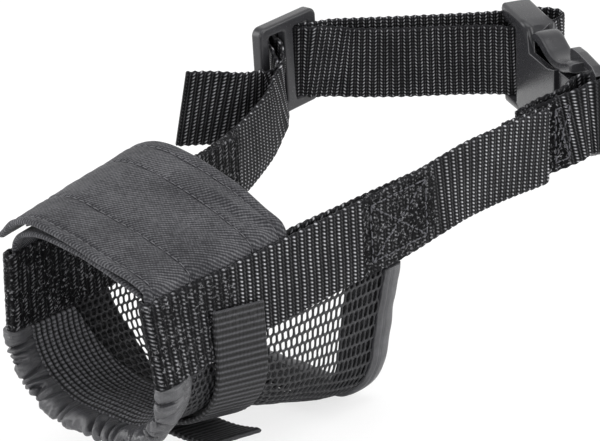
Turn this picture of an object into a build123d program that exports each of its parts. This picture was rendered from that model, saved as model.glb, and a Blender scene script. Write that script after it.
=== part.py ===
from build123d import *
import os
from math import sin, cos, pi, hypot, radians, sqrt

# ---------------------------------------------------------------- dimensions
# Millimetres. Nose opening faces -Y, the neck loop is at +Y, the dog's left
# side is +X and up is +Z.  Origin: mid-plane, front edge of the side webbing,
# level of its lower edge.
WEB_W = 25.0            # webbing width
WEB_T = 1.6             # webbing thickness
LAYER_GAP = 1.4         # room for the mesh between the two webbing layers
FRONT_X = 28.0          # outer face of the side webbing at the front
FLARE = 0.05            # side webbing moves out this much per mm of length
MUZZLE_L = 100.0        # length of the muzzle tube
STITCH_END = 114.0      # end of the doubled, sewn part of the left webbing

MESH_T = 1.0            # open net, as a skin
U_R = 19.0              # corner radius of the U section
CUFF_L = 13.6           # length of the puckered front binding
CUFF_T = 4.2
BIND_L = 6.4            # length of the rear binding
BIND_T = 3.8
LINING_T = 2.4
LINING_END = 41.0

FLAP_T = 1.8            # thickness of each nose flap
FLAP_Y0, FLAP_Y1 = 1.6, 53.0
PATCH_T = 0.7           # hook or loop tape
HINGE_Z = 26.5          # fold line of the outer nose flap

CHIN_W = 19.0           # ribbed chin strap
CHIN_T = 1.6
CHIN_Y0 = 18.8

BUCKLE_T = 9.0
BUCKLE_W = 32.4         # at the strap end
BUCKLE_MOUTH_W = 33.2   # at the mouth
BAR_R = 2.0
Z_BUCKLE = 14.5         # height of the buckle's mid line
Z_BACK = 15.0           # height of the back strap's mid line
Z_SLIDER = 18.8
SLIDER_T = 3.4
SLIDER_W = 33.0
SLIDER_L = 28.0
SLIDER_X = -66.0
SLIDER_Y = 163.2
NECK_X = 33.4           # left neck strap

os.makedirs("parts", exist_ok=True)


# ---------------------------------------------------------------- helpers
def side_x(y):
    """Middle of the left webbing sandwich at length y."""
    return FRONT_X - WEB_T - LAYER_GAP / 2 + FLARE * y


def lerp_table(table, y):
    for (a, va), (b, vb) in zip(table, table[1:]):
        if y <= b:
            return va + (vb - va) * (y - a) / (b - a)
    return table[-1][1]


# lowest point of the net's mid-surface along the muzzle
BOTTOM = [(-5, -23.4), (14.2, -23.4), (30, -29.0), (45, -33.2), (60, -36.0),
          (80, -38.6), (93, -39.6), (110, -39.6)]


def bottom_z(y):
    return lerp_table(BOTTOM, y)


def smooth_path(points, steps=8):
    """Catmull-Rom curve through plan points, as a dense list."""
    p = [points[0]] + list(points) + [points[-1]]
    out = []
    for i in range(1, len(p) - 2):
        for k in range(steps):
            t = k / steps
            q = []
            for d in range(2):
                a, b, c, e = p[i - 1][d], p[i][d], p[i + 1][d], p[i + 2][d]
                q.append(0.5 * (2 * b + (c - a) * t + (2 * a - 5 * b + 4 * c - e) * t * t
                                + (3 * b - a - 3 * c + e) * t ** 3))
            out.append(tuple(q))
    out.append(tuple(points[-1]))
    return out


def band(path, thickness):
    """Closed outline of a band of constant thickness around a path."""
    left, right = [], []
    n = len(path)
    for i, (x, y) in enumerate(path):
        x0, y0 = path[max(i - 1, 0)]
        x1, y1 = path[min(i + 1, n - 1)]
        l = hypot(x1 - x0, y1 - y0)
        nx, ny = -(y1 - y0) / l, (x1 - x0) / l
        left.append((x + nx * thickness / 2, y + ny * thickness / 2))
        right.append((x - nx * thickness / 2, y - ny * thickness / 2))
    return left + right[::-1]


def u_edges(y, off, top, corner=U_R):
    """Key points of a U at length y, moved outwards by off from the net."""
    w = side_x(y) + off
    zb = bottom_z(y) - off
    r = corner + off
    c = sqrt(0.5)
    return dict(w=w, zb=zb, r=r, top=top,
                a=(w, top), b=(w, zb + r), m=(w - r + r * c, zb + r - r * c), c=(w - r, zb),
                d=(-(w - r), zb), n=(-(w - r + r * c), zb + r - r * c), e=(-w, zb + r), f=(-w, top))


def u_section(y, off, thickness, top):
    """Draws the closed outline of a U-shaped band into the current BuildLine."""
    o = u_edges(y, off + thickness / 2, top)
    i = u_edges(y, off - thickness / 2, top)
    Line(o["a"], o["b"])
    ThreePointArc(o["b"], o["m"], o["c"])
    Line(o["c"], o["d"])
    ThreePointArc(o["d"], o["n"], o["e"])
    Line(o["e"], o["f"])
    Line(o["f"], i["f"])
    Line(i["f"], i["e"])
    ThreePointArc(i["e"], i["n"], i["d"])
    Line(i["d"], i["c"])
    ThreePointArc(i["c"], i["m"], i["b"])
    Line(i["b"], i["a"])
    Line(i["a"], o["a"])


def at_y(y):
    return Plane.XZ.offset(-y)


def save(part, name):
    part.part.label = name
    export_step(part.part, f"parts/{name}.step")


# ---------------------------------------------------------------- net and bindings
NET_Y0, NET_Y1, NET_TOP = 3.0, 97.0, 11.0

with BuildPart() as mesh_panel:
    # level part inside the front binding, the deepening chin, then the level
    # part inside the rear binding
    for ya, yb in ((NET_Y0, 14.2), (14.2, 30.0), (30.0, 45.0), (45.0, 60.0), (60.0, 80.0), (80.0, 93.0), (93.0, NET_Y1)):
        for y in (ya, yb):
            with BuildSketch(at_y(y)):
                with BuildLine():
                    u_section(y, 0, MESH_T, NET_TOP)
                make_face()
        loft(ruled=True)
save(mesh_panel, "mesh_panel")

with BuildPart() as front_cuff:
    # folded tape: outer U, with a groove that takes the net
    for y in (0, CUFF_L):
        with BuildSketch(at_y(y)):
            with BuildLine():
                u_section(y, 0, CUFF_T, -0.8)
            make_face()
    loft(ruled=True)
    for y in (NET_Y0 - 0.5, 14.2):
        with BuildSketch(at_y(y)):
            with BuildLine():
                u_section(y, 0, MESH_T + 0.5, 0)
            make_face()
    loft(ruled=True, mode=Mode.SUBTRACT)
    fillet(front_cuff.edges().filter_by(GeomType.CIRCLE).group_by(Axis.Y)[0], 1.2)
save(front_cuff, "front_cuff")

with BuildPart() as chin_lining:
    for y in (14.4, 30.0):
        with BuildSketch(at_y(y)):
            with BuildLine():
                u_section(y, -(MESH_T / 2 + 0.25 + LINING_T / 2), LINING_T, -3.0)
            make_face()
    loft(ruled=True)
    for y in (30.0, LINING_END):
        with BuildSketch(at_y(y)):
            with BuildLine():
                u_section(y, -(MESH_T / 2 + 0.25 + LINING_T / 2), LINING_T, -3.0)
            make_face()
    loft(ruled=True)
save(chin_lining, "chin_lining")

with BuildPart() as rear_binding:
    with BuildSketch(at_y(MUZZLE_L - BIND_L)):
        with BuildLine():
            u_section(95.0, 0, BIND_T, -1.4)
        make_face()
    extrude(amount=-BIND_L)
    with BuildSketch(at_y(MUZZLE_L - BIND_L - 1)):
        with BuildLine():
            u_section(95.0, 0, MESH_T + 0.9, 0)
        make_face()
    extrude(amount=-(NET_Y1 + 0.4 - (MUZZLE_L - BIND_L - 1)), mode=Mode.SUBTRACT)
    fillet(rear_binding.edges().filter_by(GeomType.CIRCLE).group_by(Axis.Y)[-1], 0.8)
save(rear_binding, "rear_binding")

# ---------------------------------------------------------------- side webbing
OUT = LAYER_GAP / 2 + WEB_T / 2         # mid line of a layer from the sandwich's middle


def hairpin(sign, inner_end, outer_tail):
    """Plan path: inner layer, turn at the front, outer layer, then the tail."""
    r = OUT
    y0 = WEB_T / 2 + r
    pts = [(side_x(inner_end) - OUT, inner_end), (side_x(60) - OUT, 60), (side_x(y0) - OUT, y0)]
    cx = side_x(y0)
    for k in range(1, 12):
        a = pi + k * pi / 12
        pts.append((cx + r * cos(a), y0 + r * sin(a)))
    pts += [(side_x(y0) + OUT, y0), (side_x(60) + OUT, 60)]
    pts += outer_tail
    return [(sign * x, y) for x, y in pts]


left_tail = [(side_x(100) + OUT, 100)] + smooth_path(
    [(side_x(STITCH_END) + OUT, STITCH_END), (33.4, 130), (NECK_X + 0.1, 150), (NECK_X, 168.0)], 4)
with BuildPart() as left_side_webbing:
    with BuildSketch(Plane.XY):
        with BuildLine():
            Polyline(*band(hairpin(1, STITCH_END, left_tail), WEB_T), close=True)
        make_face()
    extrude(amount=WEB_W)
save(left_side_webbing, "left_side_webbing")

right_tail = smooth_path([(side_x(78) + OUT, 78), (33.2, 88), (37.6, 98), (46.6, 120), (54.6, 138), (58.6, 148)], 4)
with BuildPart() as right_side_webbing:
    with BuildSketch(Plane.XY):
        with BuildLine():
            Polyline(*band(hairpin(-1, 98.0, right_tail), WEB_T), close=True)
        make_face()
    extrude(amount=WEB_W)
save(right_side_webbing, "right_side_webbing")


def stitch_box(x0, z0, lx, lz, t):
    """Square of thread with its two diagonals, drawn as narrow strips."""
    with Locations((x0, z0)):
        Rectangle(lx, lz)
        Rectangle(lx - 2 * t, lz - 2 * t, mode=Mode.SUBTRACT)
    with BuildLine(mode=Mode.PRIVATE) as d1:
        Line((x0 - lx / 2, z0 - lz / 2), (x0 + lx / 2, z0 + lz / 2))
    with BuildLine(mode=Mode.PRIVATE) as d2:
        Line((x0 - lx / 2, z0 + lz / 2), (x0 + lx / 2, z0 - lz / 2))
    trace(d1.line, t)
    trace(d2.line, t)


# sewn squares, lying on the outer faces of the doubled webbing
FACE_DIR = Vector(FLARE, 1, 0).normalized()
left_face = Plane(origin=(side_x(0) + OUT + WEB_T / 2 + 0.05, 0, 0), x_dir=FACE_DIR,
                  z_dir=FACE_DIR.cross(Vector(0, 0, 1)))
with BuildPart() as left_box_stitch:
    with BuildSketch(left_face):
        stitch_box(98.0, 12.5, 24.0, 18.0, 0.7)
    extrude(amount=0.35)
save(left_box_stitch, "left_box_stitch")

FACE_DIR_R = Vector(-FLARE, 1, 0).normalized()
right_face = Plane(origin=(-(side_x(0) + OUT + WEB_T / 2 + 0.05), 0, 0), x_dir=FACE_DIR_R,
                   z_dir=Vector(0, 0, 1).cross(FACE_DIR_R))
with BuildPart() as right_box_stitch:
    with BuildSketch(right_face):
        stitch_box(64.0, -12.5, 22.0, 18.0, 0.7)
    extrude(amount=0.35)
save(right_box_stitch, "right_box_stitch")

# ---------------------------------------------------------------- nose flaps
HINGE_X0 = side_x(FLAP_Y0)
HINGE_X1 = side_x(FLAP_Y1)
FLAP_FRONT = [(HINGE_X0, HINGE_Z), (19.0, 29.6), (8.0, 32.2), (-5.0, 35.0), (-16.0, 36.3), (-24.6, 34.0), (-30.0, 28.6)]
FLAP_REAR = [(HINGE_X1, HINGE_Z), (21.0, 31.0), (9.0, 35.6), (-5.0, 39.4), (-17.0, 40.7), (-27.0, 37.8), (-33.4, 31.2)]


def offset_curve(points, d):
    out = []
    n = len(points)
    for i, (x, z) in enumerate(points):
        x0, z0 = points[max(i - 1, 0)]
        x1, z1 = points[min(i + 1, n - 1)]
        l = hypot(x1 - x0, z1 - z0)
        out.append((x + (z1 - z0) / l * d, z - (x1 - x0) / l * d))
    return out


def flap_section(points, mid, thickness, i0, i1):
    """Closed strip between two offset splines; positive offsets point outwards."""
    dense = smooth_path(points, 6)
    top = offset_curve(dense, mid + thickness / 2)[i0:i1]
    low = offset_curve(dense, mid - thickness / 2)[i0:i1]
    top = top[::3] if (len(top) - 1) % 3 == 0 else top
    low = low[::3] if (len(low) - 1) % 3 == 0 else low
    Polyline(*top)
    Line(top[-1], low[-1])
    Polyline(*low[::-1])
    Line(low[0], top[0])


def build_flap(mid, thickness, i0, i1, y0, y1):
    with BuildPart() as flap:
        for y in (y0, y1):
            t = (y - FLAP_Y0) / (FLAP_Y1 - FLAP_Y0)
            pts = [(a[0] + (b[0] - a[0]) * t, a[1] + (b[1] - a[1]) * t) for a, b in zip(FLAP_FRONT, FLAP_REAR)]
            with BuildSketch(at_y(y)):
                with BuildLine():
                    flap_section(pts, mid, thickness, i0, i1)
                make_face()
        loft(ruled=True)
    return flap


nose_outer_flap = build_flap(0, FLAP_T, 0, 37, FLAP_Y0, FLAP_Y1)
save(nose_outer_flap, "nose_outer_flap")

nose_hook_patch = build_flap(-(FLAP_T / 2 + 0.05 + PATCH_T / 2), PATCH_T, 18, 31, FLAP_Y0 + 5, FLAP_Y1 - 6)
save(nose_hook_patch, "nose_hook_patch")

INNER_MID = -(FLAP_T / 2 + 0.05 + PATCH_T + 0.25 + PATCH_T + 0.05 + FLAP_T / 2)
nose_loop_patch = build_flap(-(FLAP_T / 2 + 0.05 + PATCH_T + 0.25 + PATCH_T / 2), PATCH_T, 15, 31, FLAP_Y0 + 4, FLAP_Y1 - 5)
save(nose_loop_patch, "nose_loop_patch")

nose_inner_flap = build_flap(INNER_MID, FLAP_T, 9, 34, FLAP_Y0 + 1.0, FLAP_Y1 - 1.5)
save(nose_inner_flap, "nose_inner_flap")

# ---------------------------------------------------------------- chin straps
CHIN_Y1 = CHIN_Y0 + CHIN_W
CHIN_TOP = 15.0
NET_GAP = 0.7
LAYER1 = OUT + WEB_T / 2 + 0.2 + CHIN_T / 2         # clear of the side webbing
LAYER1_LOW = MESH_T / 2 + NET_GAP + CHIN_T / 2      # against the net under the chin
TAB_DROP = 0.05 + PATCH_T + 0.2 + PATCH_T + 0.05    # the two fastener tapes
TAB_X0 = -6.6            # fold line of the chin tab


def chin_z(y):
    """Net's lowest line under the strap, straight between the strap's edges."""
    t = (y - CHIN_Y0) / CHIN_W
    return bottom_z(CHIN_Y0) * (1 - t) + bottom_z(CHIN_Y1) * t


def chin_path(y, x_end, top, low):
    """Down the outside of the webbing, then round the net to x_end."""
    w = side_x(y) + LAYER1
    zb = bottom_z(y) - LAYER1_LOW - low
    r = U_R + 2.0
    pts = [(w, top), (w, 4.0), (w, -3.0)]
    cx, cz = w - r, zb + r
    for k in range(0, 9):
        a = -k * pi / 16
        pts.append((cx + r * cos(a), cz + r * sin(a)))
    pts.append((x_end, zb))
    return pts


def chin_solid(sign, x_end, top=CHIN_TOP, low=0.0, t=CHIN_T):
    with BuildPart() as strap:
        for y in (CHIN_Y0, CHIN_Y1):
            pts = [(sign * x, z) for x, z in chin_path(y, x_end, top, low)]
            with BuildSketch(at_y(y)):
                with BuildLine():
                    Polyline(*band(pts, t), close=True)
                make_face()
        loft(ruled=True)
    return strap


def chin_flat(x0, x1, drop, t, y0=CHIN_Y0, y1=CHIN_Y1):
    """Flat strip under the chin between x0 and x1, drop below the left strap."""
    with BuildPart() as strip:
        for y in (y0, y1):
            z = chin_z(y) - MESH_T / 2 - NET_GAP - CHIN_T - drop
            with BuildSketch(at_y(y)):
                with BuildLine():
                    Polyline((x0, z), (x1, z), (x1, z - t), (x0, z - t), close=True)
                make_face()
        loft(ruled=True)
    return strip


chin_strap_left = chin_solid(1, -6.0)
save(chin_strap_left, "chin_strap_left")

chin_strap_right = chin_solid(-1, -TAB_X0 + 0.9, CHIN_TOP, CHIN_T + TAB_DROP)
save(chin_strap_right, "chin_strap_right")

chin_loop_patch = chin_flat(-4.0, 8.0, 0.05, PATCH_T, CHIN_Y0 + 1.5, CHIN_Y1 - 1.5)
save(chin_loop_patch, "chin_loop_patch")

chin_hook_patch = chin_flat(-3.0, 9.0, 0.05 + PATCH_T + 0.2, PATCH_T, CHIN_Y0 + 1.5, CHIN_Y1 - 1.5)
save(chin_hook_patch, "chin_hook_patch")

with BuildPart() as chin_tab:
    # flat under the chin, then its free end stands off towards the left
    for y in (CHIN_Y0, CHIN_Y1):
        z = bottom_z(y) - MESH_T / 2 - NET_GAP - CHIN_T - TAB_DROP - CHIN_T / 2
        path = [(TAB_X0 + 0.9, z), (4.0, z), (12.0, z), (19.0, z + 0.4), (27.0, z + 2.2)]
        with BuildSketch(at_y(y)):
            with BuildLine():
                Polyline(*band(path, CHIN_T), close=True)
            make_face()
    loft(ruled=True)
save(chin_tab, "chin_tab")

# ---------------------------------------------------------------- buckle
F_BAR = (-12.6, 221.6)          # socket's strap bar
M_BAR = (36.4, 192.0)           # plug's strap bar
B_LEN = hypot(M_BAR[0] - F_BAR[0], M_BAR[1] - F_BAR[1])
UX, UY = (M_BAR[0] - F_BAR[0]) / B_LEN, (M_BAR[1] - F_BAR[1]) / B_LEN
BUCKLE = Plane(origin=(F_BAR[0], F_BAR[1], Z_BUCKLE), x_dir=(UX, UY, 0), z_dir=(-UY, UX, 0))
MOUTH = 40.0
PLATE = 1.9                     # wall above and below the cavity
CAV = BUCKLE_T / 2 - PLATE      # half height of the cavity

with BuildPart() as buckle_socket:
    with BuildSketch(BUCKLE.offset(-BUCKLE_T / 2)) as socket_outline:
        with BuildLine():
            Polyline((-2.4, -12.0), (0.0, -BUCKLE_W / 2), (14.0, -BUCKLE_W / 2), (MOUTH, -BUCKLE_MOUTH_W / 2),
                     (MOUTH, BUCKLE_MOUTH_W / 2), (14.0, BUCKLE_W / 2), (0.0, BUCKLE_W / 2), (-2.4, 12.0), close=True)
        make_face()
        fillet(socket_outline.vertices().filter_by(lambda p: p.X < 30), 1.6)
    extrude(amount=BUCKLE_T)
    fillet(buckle_socket.edges().filter_by(lambda e: abs(e.tangent_at(0.5).dot(BUCKLE.z_dir)) < 0.2)
           .filter_by(lambda e: (e.position_at(0.5) - BUCKLE.origin).dot(BUCKLE.x_dir) < MOUTH - 0.5), 1.2)
    # strap slot, open at the end, with the round strap bar across it
    with BuildSketch(BUCKLE.offset(-BUCKLE_T)):
        with Locations((9.6 - 7.0, 0)):
            RectangleRounded(14.0, 26.6, 1.0)
    extrude(amount=2 * BUCKLE_T, mode=Mode.SUBTRACT)
    with BuildSketch(Plane(origin=BUCKLE.origin, x_dir=BUCKLE.x_dir, z_dir=BUCKLE.y_dir)):
        Circle(BAR_R)
    extrude(amount=14.0, both=True)
    # cavity, open at the mouth
    with BuildSketch(BUCKLE.offset(-CAV)):
        with BuildLine():
            Polyline((12.0, -11.6), (MOUTH + 5, -13.2), (MOUTH + 5, 13.2), (12.0, 11.6), close=True)
        make_face()
    extrude(amount=2 * CAV, mode=Mode.SUBTRACT)
    # side windows, open from the shoulder to the mouth
    with BuildSketch(BUCKLE.offset(-CAV)):
        with Locations((21.6 + 15, 15.0), (21.6 + 15, -15.0)):
            Rectangle(30.0, 9.0)
    extrude(amount=2 * CAV, mode=Mode.SUBTRACT)
    # finger notches in both plates
    with BuildSketch(BUCKLE.offset(-BUCKLE_T)):
        for s in (1, -1):
            with BuildLine():
                Polyline((21.6, s * 18.5), (22.0, s * 8.2), (34.5, s * 8.0), (MOUTH + 2, s * 9.8), (MOUTH + 2, s * 18.5), close=True)
            make_face()
    extrude(amount=2 * BUCKLE_T, mode=Mode.SUBTRACT)
save(buckle_socket, "buckle_socket")

BASE0 = MOUTH + 0.3
with BuildPart() as buckle_plug:
    # flange and strap frame
    with BuildSketch(BUCKLE.offset(-4.0)) as plug_outline:
        with BuildLine():
            Polyline((BASE0, -BUCKLE_MOUTH_W / 2), (BASE0 + 6.0, -BUCKLE_MOUTH_W / 2), (BASE0 + 16, -15.4),
                     (B_LEN + BAR_R + 0.6, -13.4), (B_LEN + BAR_R + 0.6, 13.4), (BASE0 + 16, 15.4),
                     (BASE0 + 6.0, BUCKLE_MOUTH_W / 2), (BASE0, BUCKLE_MOUTH_W / 2), close=True)
        make_face()
        fillet(plug_outline.vertices(), 1.5)
    extrude(amount=8.0)
    fillet(buckle_plug.edges().filter_by(lambda e: abs(e.tangent_at(0.5).dot(BUCKLE.z_dir)) < 0.2), 1.1)
    with BuildSketch(BUCKLE.offset(-BUCKLE_T)):
        with Locations((B_LEN - 7.7 + 7.0, 0)):
            RectangleRounded(14.0, 26.4, 1.0)
    extrude(amount=2 * BUCKLE_T, mode=Mode.SUBTRACT)
    with BuildSketch(Plane(origin=BUCKLE.origin + BUCKLE.x_dir * B_LEN, x_dir=BUCKLE.x_dir, z_dir=BUCKLE.y_dir)):
        Circle(BAR_R)
    extrude(amount=14.0, both=True)
    # recesses in which the arm roots turn
    with BuildSketch(BUCKLE.offset(-CAV)):
        with Locations((BASE0, 8.3), (BASE0, -8.3)):
            Rectangle(5.4, 5.8)
    extrude(amount=2 * CAV, mode=Mode.SUBTRACT)
    # guide tongue
    with BuildSketch(BUCKLE.offset(-1.7)):
        with BuildLine():
            Polyline((15.5, -2.0), (17.5, -3.2), (BASE0 + 1.0, -3.2), (BASE0 + 1.0, 3.2), (17.5, 3.2), (15.5, 2.0), close=True)
        make_face()
    extrude(amount=3.4)
save(buckle_plug, "buckle_plug")

ARM_T = 2 * CAV - 0.5


def arm_outline(s):
    pts = [(BASE0 + 2.0, 6.6), (BASE0 + 2.4, 8.4), (BASE0 + 1.8, 10.2), (39.0, 10.0), (36.0, 10.4), (33.0, 11.8),
           (30.0, 14.2), (27.4, 16.0), (25.2, 16.5), (22.8, 15.9), (22.4, 12.6), (24.4, 9.8), (28.0, 7.9), (33.0, 6.7), (38.0, 6.2)]
    return [(x, s * v) for x, v in pts]


for s, label in ((-1, "buckle_arm_upper"), (1, "buckle_arm_lower")):
    with BuildPart() as buckle_arm:
        with BuildSketch(BUCKLE.offset(-ARM_T / 2)):
            with BuildLine():
                Polyline(*arm_outline(s), close=True)
            make_face()
        extrude(amount=ARM_T)
        fillet(buckle_arm.edges().filter_by(lambda e: abs(e.tangent_at(0.5).dot(BUCKLE.z_dir)) < 0.2), 0.45)
    save(buckle_arm, label)


# ---------------------------------------------------------------- straps at the buckle
def local(s, n):
    """Plan point from buckle coordinates: s along it, n outwards."""
    return (F_BAR[0] + UX * s - UY * n, F_BAR[1] + UY * s + UX * n)


WRAP = BAR_R + 0.35 + WEB_T / 2
L = B_LEN
end_loop_path = smooth_path([
    (34.6, 171.0), (35.6, 177.5), (37.4, 184.0), local(L + WRAP - 0.1, -2.0), local(L + WRAP, 0.3),
    local(L + WRAP * 0.72, WRAP * 0.72), local(L, WRAP), local(L - WRAP * 0.72, WRAP * 0.72), local(L - WRAP, 0.2),
    local(L - WRAP - 0.1, -4.0), (32.3, 182.5), (32.2, 171.0)], 5)
with BuildPart() as left_strap_end_loop:
    with BuildSketch(Plane.XY.offset(Z_BUCKLE - WEB_W / 2)):
        with BuildLine():
            Polyline(*band(end_loop_path, WEB_T), close=True)
        make_face()
    extrude(amount=WEB_W)
save(left_strap_end_loop, "left_strap_end_loop")

# back strap: two layers from the slider to the socket's bar
BX, BY = -62.4 - F_BAR[0], 179.6 - F_BAR[1]
BL = hypot(BX, BY)
BX, BY = BX / BL, BY / BL
NX, NY = BY, -BX                 # away from the neck


def along(t, n):
    return (F_BAR[0] + BX * t + NX * n, F_BAR[1] + BY * t + NY * n)


# the normal has to point away from the neck (towards -X and +Y)
if NX > 0:
    NX, NY = -NX, -NY
back_path = smooth_path([
    along(58.0, 1.15), along(40, 1.15), along(20, 1.2), along(9, 2.0), along(1.5, WRAP + 0.05),
    along(-WRAP * 0.62, WRAP * 0.78), along(-WRAP, 0), along(-WRAP * 0.62, -WRAP * 0.78), along(1.5, -WRAP - 0.05),
    along(9, -2.0), along(20, -1.2), along(40, -1.15), along(58.0, -1.15)], 5)
with BuildPart() as back_strap:
    with BuildSketch(Plane.XY.offset(Z_BACK - WEB_W / 2)):
        with BuildLine():
            Polyline(*band(back_path, WEB_T), close=True)
        make_face()
    extrude(amount=WEB_W)
save(back_strap, "back_strap")

# sewn square on the looped end of the left strap
e0 = Vector(34.6, 171.0, 0)
e1 = Vector(35.6, 177.5, 0)
ed = (e1 - e0).normalized()
loop_face = Plane(origin=(e0 + ed.cross(Vector(0, 0, 1)) * (WEB_T / 2 + 0.15)), x_dir=ed, z_dir=ed.cross(Vector(0, 0, 1)))
with BuildPart() as loop_box_stitch:
    with BuildSketch(loop_face):
        stitch_box(3.4, Z_BUCKLE, 5.6, 18.0, 0.7)
    extrude(amount=0.35)
save(loop_box_stitch, "loop_box_stitch")

# ---------------------------------------------------------------- slider
SL = Plane(origin=(SLIDER_X, SLIDER_Y, Z_SLIDER), x_dir=(0, 1, 0), z_dir=(-1, 0, 0))
with BuildPart() as tri_glide_slider:
    with BuildSketch(SL.offset(-SLIDER_T / 2)):
        RectangleRounded(SLIDER_L, SLIDER_W, 3.0)
        with Locations((-SLIDER_L / 4 + 0.9, 0), (SLIDER_L / 4 - 0.9, 0)):
            RectangleRounded(7.6, 25.6, 1.0, mode=Mode.SUBTRACT)
    extrude(amount=SLIDER_T)
    fillet(tri_glide_slider.edges().filter_by(lambda e: abs(e.tangent_at(0.5).dot(SL.z_dir)) < 0.2), 0.8)
save(tri_glide_slider, "tri_glide_slider")

# both strap layers: under the end bars, over the centre bar
IN_X = SLIDER_X + SLIDER_T / 2 + 0.3 + WEB_T / 2
OUT_X = SLIDER_X - SLIDER_T / 2 - 0.3 - WEB_T / 2
thread1 = smooth_path([(IN_X, SLIDER_Y - 14.2), (IN_X, SLIDER_Y - 9.8), (IN_X - 2.0, SLIDER_Y - 6.9),
                       (OUT_X + 0.9, SLIDER_Y - 4.0), (OUT_X, SLIDER_Y), (OUT_X + 0.9, SLIDER_Y + 4.0),
                       (IN_X - 2.0, SLIDER_Y + 6.9), (IN_X, SLIDER_Y + 9.8), (IN_X, SLIDER_Y + 14.2)], 5)
with BuildPart() as strap_threading:
    with BuildSketch(Plane.XY.offset(Z_SLIDER - WEB_W / 2)):
        with BuildLine():
            Polyline(*band(thread1, WEB_T), close=True)
        make_face()
    extrude(amount=WEB_W)
save(strap_threading, "strap_threading")

# free tail, leaving the slider beside the right strap
tail_path = smooth_path([(-64.4, 145.6), (-66.0, 138), (-69.0, 128), (-71.2, 116.8)], 5)
with BuildPart() as strap_tail:
    with BuildSketch(Plane.XY.offset(14.0 - WEB_W / 2)):
        with BuildLine():
            Polyline(*band(tail_path, WEB_T), close=True)
        make_face()
    extrude(amount=WEB_W)
save(strap_tail, "strap_tail")
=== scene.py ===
import bpy, bmesh, math
import numpy as np
from mathutils import Vector, Matrix, noise


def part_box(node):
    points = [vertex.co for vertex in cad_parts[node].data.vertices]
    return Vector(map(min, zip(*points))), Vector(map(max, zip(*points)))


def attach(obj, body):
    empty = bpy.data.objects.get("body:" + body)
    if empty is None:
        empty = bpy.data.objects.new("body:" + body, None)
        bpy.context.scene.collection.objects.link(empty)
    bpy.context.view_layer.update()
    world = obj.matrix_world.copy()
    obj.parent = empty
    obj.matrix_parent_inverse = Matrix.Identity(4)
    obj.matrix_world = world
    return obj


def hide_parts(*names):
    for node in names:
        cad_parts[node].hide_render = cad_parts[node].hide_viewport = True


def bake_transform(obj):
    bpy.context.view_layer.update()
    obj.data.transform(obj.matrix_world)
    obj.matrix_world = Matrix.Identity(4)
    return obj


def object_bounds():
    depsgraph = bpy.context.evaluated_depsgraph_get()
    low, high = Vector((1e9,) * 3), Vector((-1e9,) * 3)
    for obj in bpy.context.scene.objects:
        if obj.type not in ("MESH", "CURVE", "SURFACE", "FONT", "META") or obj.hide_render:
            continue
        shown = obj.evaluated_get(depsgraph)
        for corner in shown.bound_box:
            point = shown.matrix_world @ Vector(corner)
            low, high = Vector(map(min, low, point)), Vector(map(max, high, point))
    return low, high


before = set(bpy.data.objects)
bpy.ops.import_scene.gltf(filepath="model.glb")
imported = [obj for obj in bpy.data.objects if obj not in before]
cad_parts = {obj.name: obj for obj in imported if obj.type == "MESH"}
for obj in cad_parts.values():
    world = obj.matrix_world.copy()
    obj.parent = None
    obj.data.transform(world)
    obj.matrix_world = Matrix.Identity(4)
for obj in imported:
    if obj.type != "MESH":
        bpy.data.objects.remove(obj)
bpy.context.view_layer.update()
rng = np.random.default_rng(11)
MM = 0.001
pi = math.pi

# ------------------------------------------------------------------ mesh helpers


def new_object(name, verts, faces, mat, attrs=None, smooth=True):
    """A mesh object from millimetre points; attrs are per-point floats for the materials."""
    me = bpy.data.meshes.new(name)
    me.from_pydata((np.asarray(verts, float) * MM).tolist(), [], [tuple(int(i) for i in f) for f in faces])
    me.update()
    for key, val in (attrs or {}).items():
        a = me.attributes.new(key, "FLOAT", "POINT")
        a.data.foreach_set("value", np.asarray(val, np.float32).ravel())
    if smooth:
        me.polygons.foreach_set("use_smooth", np.ones(len(me.polygons), bool))
    ob = bpy.data.objects.new(name, me)
    bpy.context.scene.collection.objects.link(ob)
    if mat:
        me.materials.append(mat)
    return ob


def loop_grid(P):
    """Quads for a tube: rows along the first axis, closed round the second, capped at both ends."""
    nu, nv = P.shape[:2]
    f = []
    for i in range(nu - 1):
        a, b = i * nv, (i + 1) * nv
        for j in range(nv):
            k = (j + 1) % nv
            f.append((a + j, a + k, b + k, b + j))
    m = nv // 2
    for base, flip in ((0, False), ((nu - 1) * nv, True)):
        for j in range(m - 1):
            q = (base + j, base + nv - 1 - j, base + nv - 2 - j, base + j + 1)
            f.append(q[::-1] if flip else q)
    return f


def catmull(points, n=12):
    p = np.asarray(points, float)
    q = np.vstack([2 * p[0] - p[1], p, 2 * p[-1] - p[-2]])
    out = []
    for i in range(1, len(q) - 2):
        t = np.linspace(0, 1, n, endpoint=False)[:, None]
        a, b, c, d = q[i - 1], q[i], q[i + 1], q[i + 2]
        out.append(0.5 * (2 * b + (c - a) * t + (2 * a - 5 * b + 4 * c - d) * t ** 2 + (3 * b - a - 3 * c + d) * t ** 3))
    out.append(p[-1:])
    return np.vstack(out)


def resample(points, extra, step):
    """Even steps along a polyline, carrying further columns with it."""
    d = np.r_[0, np.cumsum(np.linalg.norm(np.diff(points, axis=0), axis=1))]
    keep = np.r_[True, np.diff(d) > 1e-9]
    d, points, extra = d[keep], points[keep], extra[keep]
    n = max(int(round(d[-1] / step)), 2)
    s = np.linspace(0, d[-1], n + 1)
    P = np.stack([np.interp(s, d, points[:, k]) for k in range(3)], 1)
    E = np.stack([np.interp(s, d, extra[:, k]) for k in range(extra.shape[1])], 1)
    return P, E, s


def unit(a):
    return a / np.maximum(np.linalg.norm(a, axis=-1, keepdims=True), 1e-12)


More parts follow.
